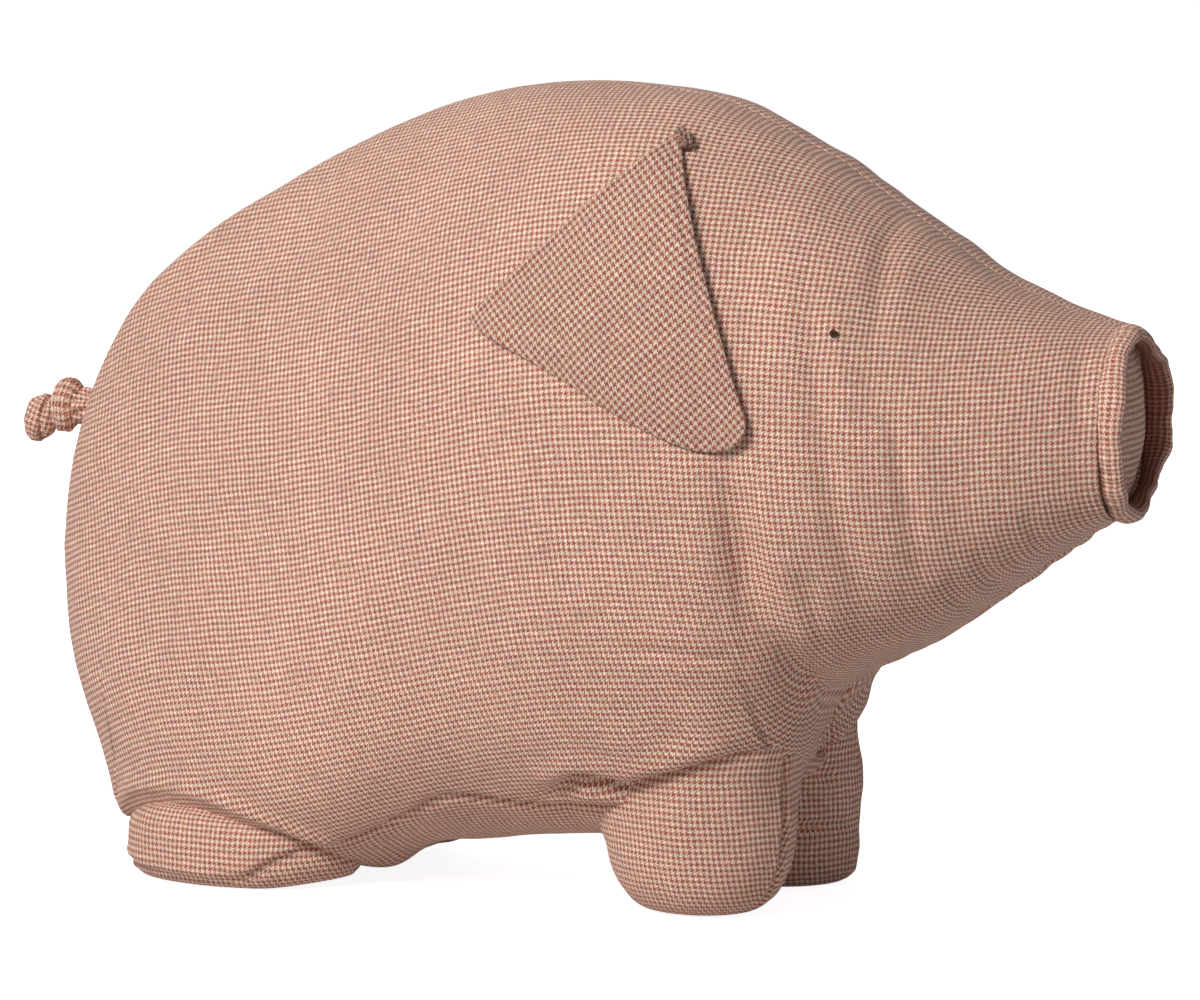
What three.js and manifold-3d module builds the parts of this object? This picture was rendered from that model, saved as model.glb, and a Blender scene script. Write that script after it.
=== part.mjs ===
// A stuffed cloth pig that stands on four stub legs, with loose three-cornered ears and a knotted tail.
// Millimetres. +X points to the snout, +Y to the pig's left side and +Z up. The soles stand on Z = 0.

import * as THREE from 'three';
import { mergeVertices } from 'three/addons/utils/BufferGeometryUtils.js';
import Module from 'manifold-3d';

const wasm = await Module();
wasm.setup();

// Trunk and head
const bodyLength = 312;
const bodyHeight = 275;
const bodyWidth = 172;
const headLength = 167;
const headHeight = 194;
const headWidth = 162;

// Cloth, seams and stuffing
const clothThickness = 1;
const gap = 0.3;
const fillClearance = 0.4;
const overrun = 40;

// Snout
const rimReach = 6.8;
const rimThickness = 6;
const rimWave = 0.6;
const rimInset = 1.5;
const discThickness = 3;
const discCrown = 4;

// Legs
const frontLegLength = 67;
const frontLegWidth = 54;
const frontLegHeight = 80;
const hindLegLength = 88;
const hindLegWidth = 56;
const hindLegHeight = 36;
const soleCut = 0.5;

// Ears and eyes
const earCornerRadius = 9;
const earTopRadius = 5;
const earBulge = 18;
const earClearance = 2;
const earRootLength = 9;
const earRootThickness = 5;
const eyeDiameter = 2.8;
const eyeHeight = 1.6;

// Tail
const tailThickness = 9;
const tailStubLength = 2;
const knotDiameter = 14;
const knotThickness = 6.6;
const knotLengthShare = 0.7;
const knotCoreShare = 0.6;

// Where the head starts, as shares of the trunk's length and height
const headStartShares = [0.7087, 0.24];

// Where the legs stand, as shares of the trunk's length and width
const frontLegShares = [0.8077, 0.2];
const hindLegShares = [0.277, 0.22];

// The corners of the right ear, as shares of the trunk's length and height
const earTopShares = [0.79, 0.947];
const earRearShares = [0.59, 0.7225];
const earFrontShares = [0.921, 0.582];

// The eyes, as shares of the head's length and height, and the tail's height as a share of the trunk's
const eyeShares = [0.523, 0.678];
const tailHeightShare = 0.57;

// Rows of the trunk, from the rump to the chest: place along it, top, bottom and width, then the height
// of the widest place within the ring, and how full the ring is above that: 1 is an ellipse, 2 is straight
const bodyShares = [
  [0, 0.4, 0.4, 0, 0.44, 1.1],
  [0.0032, 0.473, 0.32, 0.075, 0.42, 1.15],
  [0.0096, 0.511, 0.28, 0.15, 0.39, 1.22],
  [0.0224, 0.569, 0.218, 0.235, 0.35, 1.3],
  [0.0385, 0.616, 0.156, 0.315, 0.32, 1.36],
  [0.0577, 0.66, 0.098, 0.39, 0.29, 1.4],
  [0.0897, 0.716, 0.051, 0.475, 0.25, 1.44],
  [0.1346, 0.764, 0.033, 0.575, 0.22, 1.45],
  [0.1923, 0.813, 0.024, 0.665, 0.2, 1.43],
  [0.2564, 0.855, 0.018, 0.75, 0.2, 1.38],
  [0.3365, 0.904, 0.013, 0.83, 0.21, 1.3],
  [0.4167, 0.945, 0.018, 0.895, 0.24, 1.2],
  [0.4872, 0.974, 0.047, 0.935, 0.29, 1.1],
  [0.5609, 0.993, 0.064, 0.965, 0.34, 1.02],
  [0.641, 1, 0.071, 0.99, 0.39, 0.96],
  [0.7212, 0.995, 0.078, 1, 0.42, 0.92],
  [0.7885, 0.984, 0.091, 0.995, 0.44, 0.92],
  [0.8397, 0.962, 0.12, 0.96, 0.44, 0.92],
  [0.891, 0.931, 0.171, 0.88, 0.44, 0.92],
  [0.9359, 0.887, 0.255, 0.76, 0.44, 0.92],
  [0.9679, 0.829, 0.356, 0.56, 0.44, 0.92],
  [0.9904, 0.727, 0.444, 0.34, 0.44, 0.92],
  [1, 0.575, 0.575, 0, 0.44, 0.92],
];

// The same rows of the head, from its back inside the trunk to the snout
const headShares = [
  [0, 0.5, 0.5, 0, 0.44, 0.92],
  [0.029, 0.69, 0.268, 0.49, 0.44, 0.92],
  [0.121, 0.866, 0.103, 0.77, 0.44, 0.92],
  [0.249, 0.95, 0.03, 0.91, 0.44, 0.92],
  [0.376, 0.96, 0.02, 0.93, 0.44, 0.92],
  [0.457, 0.924, 0.05, 0.91, 0.44, 0.92],
  [0.538, 0.879, 0.092, 0.86, 0.44, 0.92],
  [0.621, 0.832, 0.126, 0.785, 0.44, 0.92],
  [0.743, 0.763, 0.198, 0.665, 0.44, 0.92],
  [0.867, 0.717, 0.276, 0.53, 0.44, 0.92],
  [0.948, 0.695, 0.325, 0.42, 0.44, 0.92],
  [1, 0.684, 0.352, 0.36, 0.44, 0.92],
];

// How full a ring is below its widest place, and how full the nose is
const lowFullShare = 0.78;
const noseFullShare = 0.92;

// Rows of a leg, from the sole up: height, length and width
const frontLegFormShares = [
  [0, 0, 0],
  [0.006, 0.42, 0.42],
  [0.035, 0.66, 0.66],
  [0.12, 0.84, 0.86],
  [0.28, 0.97, 0.97],
  [0.5, 1, 1],
  [0.78, 0.86, 0.84],
  [0.94, 0.5, 0.5],
  [1, 0, 0],
];
const hindLegFormShares = [
  [0, 0, 0],
  [0.012, 0.6, 0.6],
  [0.06, 0.82, 0.82],
  [0.16, 0.95, 0.95],
  [0.34, 1, 1],
  [0.62, 0.92, 0.92],
  [0.82, 0.72, 0.72],
  [0.95, 0.4, 0.4],
  [1, 0, 0],
];

// The seam between a side panel and the gusset: place along the trunk and height
const seamShares = [
  [0.1, 0.05],
  [0.173, 0.075],
  [0.263, 0.08],
  [0.406, 0.062],
  [0.506, 0.11],
  [0.558, 0.135],
  [0.675, 0.127],
  [0.84, 0.155],
  [0.929, 0.2],
  [0.977, 0.265],
  [1.019, 0.3],
  [1.058, 0.31],
];

// The numbers of rings and of points round a ring
const bodyRings = 28;
const headRings = 12;
const roundPoints = 26;
const legRings = 8;
const legPoints = 16;
const rimWaves = 5;
const rimSteps = 40;
const rimPoints = 8;
const earPoints = 26;
const earRings = 3;

// Colours
const clothColour = 0xc79581;
const liningColour = 0xbd8b77;
const fillColour = 0xf1eee6;
const threadColour = 0x3c2418;

function cloth(colour = clothColour) {
  return new THREE.MeshStandardMaterial({ color: colour, roughness: 0.9, metalness: 0 });
}

// The smooth curve through the rows of a table, at a place counted in rows
function between(rows, place) {
  const at = Math.min(Math.floor(place), rows.length - 2);
  const t = place - at;
  const row = (i) => rows[Math.min(Math.max(i, 0), rows.length - 1)];
  return rows[at].map((_, column) => {
    const [a, b, c, d] = [row(at - 1), row(at), row(at + 1), row(at + 2)].map((r) => r[column]);
    return b + 0.5 * t * (c - a + t * (2 * a - 5 * b + 4 * c - d + t * (3 * (b - c) + d - a)));
  });
}

// An indexed geometry of a closed surface, turned so that its faces look out
function facingOut(positions, faces) {
  const corner = (i) => new THREE.Vector3().fromArray(positions, 3 * faces[i]);
  let volume = 0;
  for (let i = 0; i < faces.length; i += 3) {
    volume += corner(i).dot(corner(i + 1).cross(corner(i + 2)));
  }
  const geometry = new THREE.BufferGeometry();
  geometry.setAttribute('position', new THREE.Float32BufferAttribute(positions, 3));
  geometry.setIndex(volume < 0 ? faces.reverse() : faces);
  return geometry;
}

// A closed geometry from rings of points, each ring a single point or of equal length
function fromRings(rings) {
  const positions = [];
  const starts = rings.map((ring) => {
    const start = positions.length / 3;
    ring.forEach((point) => positions.push(point.x, point.y, point.z));
    return start;
  });
  const faces = [];
  for (let i = 0; i + 1 < rings.length; i += 1) {
    const count = Math.max(rings[i].length, rings[i + 1].length);
    for (let j = 0; j < count; j += 1) {
      const next = (j + 1) % count;
      const low = (k) => starts[i] + (rings[i].length > 1 ? k : 0);
      const high = (k) => starts[i + 1] + (rings[i + 1].length > 1 ? k : 0);
      if (rings[i].length > 1) faces.push(low(j), low(next), high(j));
      if (rings[i + 1].length > 1) faces.push(low(next), high(next), high(j));
    }
  }
  return facingOut(positions, faces);
}

// A sine or cosine on a ring that is rounder or fuller than an ellipse
function power(value, full) {
  return Math.sign(value) * Math.abs(value) ** full;
}

// The rings of a form that runs along X, from the rows of its table
function lyingRings(rows, count, size) {
  return Array.from({ length: count + 1 }, (_, i) => {
    const [along, top, bottom, width, widest, full] = between(rows, (i / count) * (rows.length - 1));
    const x = size.start + along * size.length;
    const waist = bottom + widest * (top - bottom);
    const pointed = i === 0 || (i === count && rows.at(-1)[3] === 0);
    if (pointed) return [new THREE.Vector3(x, 0, size.floor + bottom * size.height)];
    return Array.from({ length: roundPoints }, (_, j) => {
      const angle = (2 * Math.PI * j) / roundPoints;
      const above = Math.sin(angle) > 0;
      const rise = power(Math.sin(angle), above ? full : lowFullShare);
      const reach = above ? top - waist : waist - bottom;
      return new THREE.Vector3(
        x,
        power(Math.cos(angle), above ? full : lowFullShare) * width * size.width * 0.5,
        size.floor + (waist + rise * reach) * size.height,
      );
    });
  });
}

// The half width of such a form at a place and height, 0 where it doesn't reach
function halfWidthAt(rows, size, x, z) {
  let low = 0;
  let high = rows.length - 1;
  const along = (x - size.start) / size.length;
  if (along <= 0 || along >= 1) return 0;
  for (let i = 0; i < 40; i += 1) {
    const middle = (low + high) / 2;
    if (between(rows, middle)[0] < along) low = middle;
    else high = middle;
  }
  const [, top, bottom, width, widest, full] = between(rows, low);
  const waist = bottom + widest * (top - bottom);
  const share = (z - size.floor) / size.height - waist;
  const rise = Math.abs(share > 0 ? share / (top - waist) : share / (waist - bottom));
  if (rise >= 1) return 0;
  const fullness = share > 0 ? full : lowFullShare;
  return width * size.width * 0.5 * Math.sqrt(1 - rise ** (2 / fullness)) ** fullness;
}

// Moves the points of a closed geometry inwards, or outwards by a negative depth
function inset(geometry, depth) {
  const moved = geometry.clone();
  moved.computeVertexNormals();
  const points = moved.getAttribute('position');
  const normals = moved.getAttribute('normal');
  for (let i = 0; i < points.count; i += 1) {
    points.setXYZ(
      i,
      points.getX(i) - depth * normals.getX(i),
      points.getY(i) - depth * normals.getY(i),
      points.getZ(i) - depth * normals.getZ(i),
    );
  }
  moved.deleteAttribute('normal');
  return moved;
}

function toSolid(geometry) {
  const bare = geometry.clone();
  bare.deleteAttribute('normal');
  bare.deleteAttribute('uv');
  const merged = mergeVertices(bare);
  const mesh = new wasm.Mesh({
    numProp: 3,
    vertProperties: new Float32Array(merged.getAttribute('position').array),
    triVerts: new Uint32Array(merged.getIndex().array),
  });
  return new wasm.Manifold(mesh);
}

function toGeometry(solid) {
  const mesh = solid.getMesh();
  const geometry = new THREE.BufferGeometry();
  geometry.setAttribute('position', new THREE.BufferAttribute(mesh.vertProperties, 3));
  geometry.setIndex(new THREE.BufferAttribute(mesh.triVerts, 1));
  geometry.computeVertexNormals();
  return geometry;
}

const pig = new THREE.Group();

function addPiece(name, geometry, material) {
  const piece = new THREE.Mesh(geometry, material);
  piece.name = name;
  pig.add(piece);
  return piece;
}

// The forms of the trunk and the head
const bodySize = { start: 0, length: bodyLength, floor: 0, height: bodyHeight, width: bodyWidth };
const headSize = {
  start: headStartShares[0] * bodyLength,
  length: headLength,
  floor: headStartShares[1] * bodyHeight,
  height: headHeight,
  width: headWidth,
};
const snoutX = headSize.start + headLength;
const [, snoutTopShare, snoutBottomShare] = headShares.at(-1);
const snoutCentreZ = headSize.floor + ((snoutTopShare + snoutBottomShare) / 2) * headHeight;
const bodyForm = fromRings(lyingRings(bodyShares, bodyRings, bodySize));
const headList = lyingRings(headShares, headRings, headSize);

// The trunk or the head, a depth inside its outer face. An open head runs on past the snout
function bodySolid(depth) {
  return toSolid(inset(bodyForm, depth));
}

function headSolid(depth, runOn = 0) {
  const rings = [...headList];
  if (runOn > 0) rings.push(rings.at(-1).map((point) => point.clone().setX(point.x + runOn)));
  rings.push([new THREE.Vector3(snoutX + runOn, 0, snoutCentreZ)]);
  return toSolid(inset(fromRings(rings), depth));
}

function boxSolid(low, high) {
  const box = new THREE.BoxGeometry(high.x - low.x, high.y - low.y, high.z - low.z);
  box.translate((low.x + high.x) / 2, (low.y + high.y) / 2, (low.z + high.z) / 2);
  return toSolid(box);
}

// A box round everything, cut off at the given sides
function everything(limits = {}) {
  const low = new THREE.Vector3(-overrun, -bodyWidth, -overrun);
  const high = new THREE.Vector3(snoutX + overrun, bodyWidth, bodyHeight + overrun);
  if (limits.aboveZ !== undefined) low.z = limits.aboveZ;
  if (limits.aboveY !== undefined) low.y = limits.aboveY;
  if (limits.belowY !== undefined) high.y = limits.belowY;
  if (limits.belowX !== undefined) high.x = limits.belowX;
  return boxSolid(low, high);
}

const skin = bodySolid(0).add(headSolid(0));
const skinShell = skin.subtract(bodySolid(clothThickness).add(headSolid(clothThickness, overrun)));
const skinWithGap = bodySolid(-gap).add(headSolid(-gap));
const skinMesh = new THREE.Mesh(toGeometry(skin), new THREE.MeshBasicMaterial({ side: THREE.DoubleSide }));

// Where a straight line first meets the skin
function onSkin(from, towards) {
  const ray = new THREE.Raycaster(from, towards.clone().normalize());
  return ray.intersectObject(skinMesh)[0].point;
}

// What lies below the seam of the gusset, raised by a clearance
function belowSeam(clearance) {
  const points = seamShares.map(([along, up]) => (
    new THREE.Vector2(along * bodyLength, up * bodyHeight + clearance)
  ));
  const outline = new THREE.Shape();
  outline.moveTo(points[0].x, -overrun);
  outline.lineTo(points[0].x, points[0].y);
  outline.splineThru(points.slice(1));
  outline.lineTo(points.at(-1).x + clearance, points.at(-1).y);
  outline.lineTo(points.at(-1).x + clearance, -overrun);
  const prism = new THREE.ExtrudeGeometry(outline, {
    depth: 2 * bodyWidth,
    bevelEnabled: false,
    curveSegments: 3,
  });
  prism.rotateX(Math.PI / 2);
  prism.translate(-clearance / 2, bodyWidth, 0);
  return toSolid(prism);
}

function addSkin() {
  const above = skinShell.subtract(belowSeam(gap));
  const right = above.intersect(everything({ belowY: -gap / 2 }));
  const left = above.intersect(everything({ aboveY: gap / 2 }));
  addPiece('right_side_panel', toGeometry(right), cloth());
  addPiece('left_side_panel', toGeometry(left), cloth());
  addPiece('belly_gusset', toGeometry(skinShell.intersect(belowSeam(0))), cloth());
}

function addFills() {
  const depth = clothThickness + fillClearance;
  const trunk = bodySolid(depth);
  const head = headSolid(depth, overrun)
    .intersect(everything({ belowX: snoutX - discThickness - gap }))
    .subtract(bodySolid(depth - gap));
  addPiece('body_fill', toGeometry(trunk), cloth(fillColour));
  addPiece('head_fill', toGeometry(head), cloth(fillColour));
}

// The crowned round that closes the snout
function addNoseDisc() {
  const centre = new THREE.Vector3(snoutX, 0, snoutCentreZ);
  const edge = headList.at(-1).map((point) => {
    const out = point.clone().sub(centre);
    return out.setLength(out.length() - clothThickness - gap);
  });
  const ring = (x, share) => edge.map((out) => out.clone().multiplyScalar(share).add(centre).setX(x));
  const crown = (share) => ring(snoutX + discCrown * (1 - share ** 2), share);
  const rings = [
    [centre.clone().setX(snoutX - discThickness)],
    ring(snoutX - discThickness, 0.9),
    ring(snoutX - discThickness / 2, 1),
    crown(0.95),
    crown(0.7),
    crown(0.4),
    [centre.clone().setX(snoutX + discCrown)],
  ];
  addPiece('nose_disc', toGeometry(toSolid(fromRings(rings))), cloth(liningColour));
}

// The rolled seam round the nose, a closed tube that waves a little
function addSnoutRim() {
  const centreX = snoutX + gap + rimWave + rimReach / 2;
  const [, , , widthShare] = headShares.at(-1);
  const halfWidth = (widthShare * headWidth) / 2;
  const halfHeight = ((snoutTopShare - snoutBottomShare) * headHeight) / 2;
  const positions = [];
  const faces = [];
  for (let i = 0; i < rimSteps; i += 1) {
    const angle = (2 * Math.PI * i) / rimSteps;
    const wave = rimWave * Math.sin(rimWaves * angle);
    for (let j = 0; j < rimPoints; j += 1) {
      const turn = (2 * Math.PI * j) / rimPoints;
      const out = (rimThickness / 2) * Math.cos(turn) - rimInset;
      positions.push(
        centreX + wave + (rimReach / 2) * Math.sin(turn),
        power(Math.cos(angle), noseFullShare) * (halfWidth + out),
        snoutCentreZ + power(Math.sin(angle), noseFullShare) * (halfHeight + out),
      );
      const [a, b] = [i, (i + 1) % rimSteps].map((step) => step * rimPoints + j);
      const [c, d] = [i, (i + 1) % rimSteps].map((step) => step * rimPoints + ((j + 1) % rimPoints));
      faces.push(a, b, c, b, d, c);
    }
  }
  addPiece('snout_rim', toGeometry(toSolid(facingOut(positions, faces))), cloth());
}

// A leg's form, which stands on the floor with its sole cut flat
function legSolid(rows, size, side, depth) {
  const rings = Array.from({ length: legRings + 1 }, (_, i) => {
    const [up, long, wide] = between(rows, (i / legRings) * (rows.length - 1));
    const z = up * size.height - soleCut;
    const y = side * size.y;
    if (i === 0 || i === legRings) return [new THREE.Vector3(size.x, y, z)];
    return Array.from({ length: legPoints }, (_, j) => {
      const angle = (2 * Math.PI * j) / legPoints;
      return new THREE.Vector3(
        size.x + Math.cos(angle) * long * size.length * 0.5,
        y + Math.sin(angle) * wide * size.width * 0.5,
        z,
      );
    });
  });
  return toSolid(inset(fromRings(rings), depth)).intersect(everything({ aboveZ: 0 }));
}

function addLeg(name, rows, size, side) {
  const cover = legSolid(rows, size, side, 0)
    .subtract(legSolid(rows, size, side, clothThickness))
    .subtract(skinWithGap);
  const fill = legSolid(rows, size, side, clothThickness + fillClearance).subtract(skinWithGap);
  addPiece(`${name}_cover`, toGeometry(cover), cloth());
  addPiece(`${name}_fill`, toGeometry(fill), cloth(fillColour));
}

function addLegs() {
  const front = {
    x: frontLegShares[0] * bodyLength,
    y: frontLegShares[1] * bodyWidth,
    length: frontLegLength,
    width: frontLegWidth,
    height: frontLegHeight,
  };
  const hind = {
    x: hindLegShares[0] * bodyLength,
    y: hindLegShares[1] * bodyWidth,
    length: hindLegLength,
    width: hindLegWidth,
    height: hindLegHeight,
  };
  addLeg('right_front_leg', frontLegFormShares, front, -1);
  addLeg('left_front_leg', frontLegFormShares, front, 1);
  addLeg('right_hind_leg', hindLegFormShares, hind, -1);
  addLeg('left_hind_leg', hindLegFormShares, hind, 1);
}

// A point of the smooth side, with the direction that faces out of it over a reach each way
function sidePoint(side, x, z, reach) {
  const half = (px, pz) => Math.max(
    halfWidthAt(bodyShares, bodySize, px, pz),
    halfWidthAt(headShares, headSize, px, pz),
  );
  const slopeX = (half(x + reach, z) - half(x - reach, z)) / (2 * reach);
  const slopeZ = (half(x, z + reach) - half(x, z - reach)) / (2 * reach);
  const out = new THREE.Vector3(-slopeX, side, -slopeZ).normalize();
  return { point: new THREE.Vector3(x, side * half(x, z), z), out };
}

// The outline of an ear: three round corners and a lower edge that bows out
function earOutline([top, rear, front]) {
  const near = (corner, other) => {
    const radius = corner === top ? earTopRadius : earCornerRadius;
    return other.clone().sub(corner).setLength(radius).add(corner);
  };
  const low = front.clone().sub(rear).setLength(earBulge).rotateAround(new THREE.Vector2(), -Math.PI / 2);
  low.add(rear.clone().lerp(front, 0.5));
  const outline = new THREE.Shape();
  outline.moveTo(near(top, front).x, near(top, front).y);
  [[top, front, rear], [rear, top, low], [front, low, top]].forEach(([corner, before, after]) => {
    const start = near(corner, before);
    const end = near(corner, after);
    if (corner === front) outline.quadraticCurveTo(low.x, low.y, start.x, start.y);
    else outline.lineTo(start.x, start.y);
    outline.quadraticCurveTo(corner.x, corner.y, end.x, end.y);
  });
  outline.closePath();
  return outline.getSpacedPoints(earPoints).slice(0, earPoints);
}

// One cloth layer of an ear, which follows the side at a distance
function earLayer(side, corners, distance) {
  const outline = earOutline(corners);
  const centre = new THREE.Vector2();
  outline.forEach((point) => centre.addScaledVector(point, 1 / outline.length));
  const flats = [centre];
  for (let i = 1; i <= earRings; i += 1) {
    outline.forEach((point) => flats.push(centre.clone().lerp(point, i / earRings)));
  }
  const positions = [];
  [distance, distance + clothThickness].forEach((lift) => flats.forEach((flat) => {
    const { point, out } = sidePoint(side, flat.x, flat.y, earCornerRadius);
    positions.push(...point.addScaledVector(out, lift));
  }));
  const faces = [];
  const both = (a, b, c) => {
    faces.push(a, b, c);
    faces.push(flats.length + c, flats.length + b, flats.length + a);
  };
  const at = (ring, i) => 1 + (ring - 1) * earPoints + (i % earPoints);
  for (let i = 0; i < earPoints; i += 1) {
    both(0, at(1, i), at(1, i + 1));
    for (let ring = 1; ring < earRings; ring += 1) {
      both(at(ring, i), at(ring + 1, i), at(ring + 1, i + 1));
      both(at(ring, i), at(ring + 1, i + 1), at(ring, i + 1));
    }
    const [a, b] = [at(earRings, i), at(earRings, i + 1)];
    faces.push(a, flats.length + a, b, b, flats.length + a, flats.length + b);
  }
  return toSolid(facingOut(positions, faces));
}

// An ear: its two layers and, just above them, the pleat that holds them to the side
function addEar(name, side) {
  const place = ([along, up]) => new THREE.Vector2(along * bodyLength, up * bodyHeight);
  const corners = [place(earTopShares), place(earRearShares), place(earFrontShares)];
  const [top, rear, front] = corners;
  const upwards = top.clone().sub(rear.clone().add(front).divideScalar(2)).normalize();
  const seatAt = top.clone().addScaledVector(upwards, (earRootThickness - earTopRadius) / 2 + gap);
  const { point, out } = sidePoint(side, seatAt.x, seatAt.y, earRootThickness);
  const [rearEnd, middle, frontEnd] = [-1, 0, 1].map((end) => {
    const start = point.clone().addScaledVector(out, overrun);
    start.x += (end * (earRootLength - earRootThickness)) / 2;
    return onSkin(start, out.clone().negate());
  });
  const along = frontEnd.clone().sub(rearEnd).normalize();
  const highest = Math.max(...[rearEnd, middle, frontEnd].map((seat) => seat.clone().sub(rearEnd)
    .addScaledVector(along, -along.dot(seat.clone().sub(rearEnd))).dot(out)));
  const centre = rearEnd.clone().lerp(frontEnd, 0.5)
    .addScaledVector(out, highest + earRootThickness / 2 + gap);
  const root = new THREE.CapsuleGeometry(earRootThickness / 2, earRootLength - earRootThickness, 4, 10, 1);
  root.applyQuaternion(new THREE.Quaternion().setFromUnitVectors(new THREE.Vector3(0, 1, 0), along));
  root.translate(centre.x, centre.y, centre.z);
  addPiece(`${name}_root`, root, cloth(liningColour));
  const outer = earLayer(side, corners, earClearance + clothThickness + gap);
  addPiece(`${name}_lining`, toGeometry(earLayer(side, corners, earClearance)), cloth(liningColour));
  addPiece(`${name}_outer`, toGeometry(outer), cloth());
}

function addEye(name, side) {
  const x = headSize.start + eyeShares[0] * headLength;
  const z = headSize.floor + eyeShares[1] * headHeight;
  const { point, out } = sidePoint(side, x, z, eyeDiameter);
  const seat = onSkin(point.clone().addScaledVector(out, overrun), out.clone().negate());
  const knot = new THREE.SphereGeometry(eyeDiameter / 2, 12, 8);
  knot.scale(1, 1, eyeHeight / eyeDiameter);
  const piece = addPiece(name, knot, cloth(threadColour));
  piece.position.copy(seat).addScaledVector(out, eyeHeight / 2 + gap);
  piece.lookAt(piece.position.clone().add(out));
}

// The tail: a short tube that leaves the back seam, and the knot that it is tied in
function addTail() {
  const z = tailHeightShare * bodyHeight;
  const seat = onSkin(new THREE.Vector3(-overrun, 0, z), new THREE.Vector3(1, 0, 0));
  const radius = tailThickness / 2;
  const swing = new THREE.Vector3(seat.x - gap - radius, 0, z);
  const lift = new THREE.Vector3(swing.x - tailStubLength, 0, z);
  const stub = new THREE.CapsuleGeometry(radius, tailStubLength, 4, 12, 1);
  stub.rotateZ(Math.PI / 2);
  stub.translate((swing.x + lift.x) / 2, 0, z);
  addPiece('tail_stub', stub, cloth());

  const tube = knotThickness / 2;
  const ring = knotDiameter / 2 - tube;
  const wrap = new THREE.TorusGeometry(ring, tube, 8, 16);
  wrap.rotateY(Math.PI / 2);
  wrap.translate(lift.x - tube, 0, z);
  const lobe = new THREE.TorusGeometry(ring, tube, 8, 16);
  lobe.rotateX(Math.PI / 3);
  lobe.translate(lift.x - knotLengthShare * knotDiameter, 0, z - tube);
  const core = new THREE.CapsuleGeometry(tube, knotCoreShare * knotDiameter, 4, 10, 1);
  core.rotateZ(Math.PI / 2.2);
  core.translate(lift.x - knotDiameter / 2 - tube, 0, z - tube / 2);
  const socket = new THREE.SphereGeometry(radius + gap, 16, 10);
  socket.translate(lift.x, 0, z);
  const knot = toSolid(wrap).add(toSolid(lobe)).add(toSolid(core)).subtract(toSolid(socket));
  addPiece('tail_knot', toGeometry(knot), cloth());
  return { swing, lift };
}

addSkin();
addFills();
addNoseDisc();
addSnoutRim();
addLegs();
addEar('right_ear', -1);
addEar('left_ear', 1);
addEye('right_eye', -1);
addEye('left_eye', 1);
addTail();

// The origin lies on the floor under the middle of the whole pig
const bounds = new THREE.Box3().setFromObject(pig);
pig.position.x = -(bounds.min.x + bounds.max.x) / 2;

export default pig;
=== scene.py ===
# A stuffed cloth pig that stands on four stub legs, with loose three-cornered ears and a knotted tail.
# The forms are worked out in millimetres, with x from the rump's tip to the snout, and made in metres.

import itertools
import math

import bmesh
import bpy
import numpy as np
from mathutils import Matrix, Vector


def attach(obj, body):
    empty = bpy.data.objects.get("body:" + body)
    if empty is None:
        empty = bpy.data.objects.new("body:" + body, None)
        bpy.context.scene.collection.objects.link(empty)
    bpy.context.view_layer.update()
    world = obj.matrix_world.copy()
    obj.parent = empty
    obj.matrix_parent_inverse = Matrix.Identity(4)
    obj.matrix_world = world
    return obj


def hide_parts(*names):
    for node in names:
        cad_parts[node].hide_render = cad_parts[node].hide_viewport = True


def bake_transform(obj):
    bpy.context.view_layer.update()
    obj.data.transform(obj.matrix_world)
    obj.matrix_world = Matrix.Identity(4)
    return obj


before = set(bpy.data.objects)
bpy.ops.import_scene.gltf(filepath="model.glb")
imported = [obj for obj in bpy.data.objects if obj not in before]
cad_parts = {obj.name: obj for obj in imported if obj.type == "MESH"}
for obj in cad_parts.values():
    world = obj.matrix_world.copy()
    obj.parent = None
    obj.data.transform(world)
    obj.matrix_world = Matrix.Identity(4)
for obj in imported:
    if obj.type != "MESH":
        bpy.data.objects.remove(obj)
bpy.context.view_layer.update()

# The middle of the whole part, from the rump's tip
MIDDLE_X = 189.614
METRE = 0.001

# Trunk and head, as in the part's source
BODY_LENGTH = 312
BODY_HEIGHT = 275
BODY_WIDTH = 172
HEAD_LENGTH = 167
HEAD_HEIGHT = 194
HEAD_WIDTH = 162
HEAD_START = 0.7087 * BODY_LENGTH
HEAD_FLOOR = 0.24 * BODY_HEIGHT
SNOUT_X = HEAD_START + HEAD_LENGTH

# How full a section is below its widest place, and how softly the head runs into the trunk
LOW_FULL = 0.78
SOFTENING = 9.0

# Cloth, and how far from the middle the edges of the side panels meet
CLOTH_THICKNESS = 1.0
SEAM_ALLOWANCE = 5.0
HALF_GAP = 0.2

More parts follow.
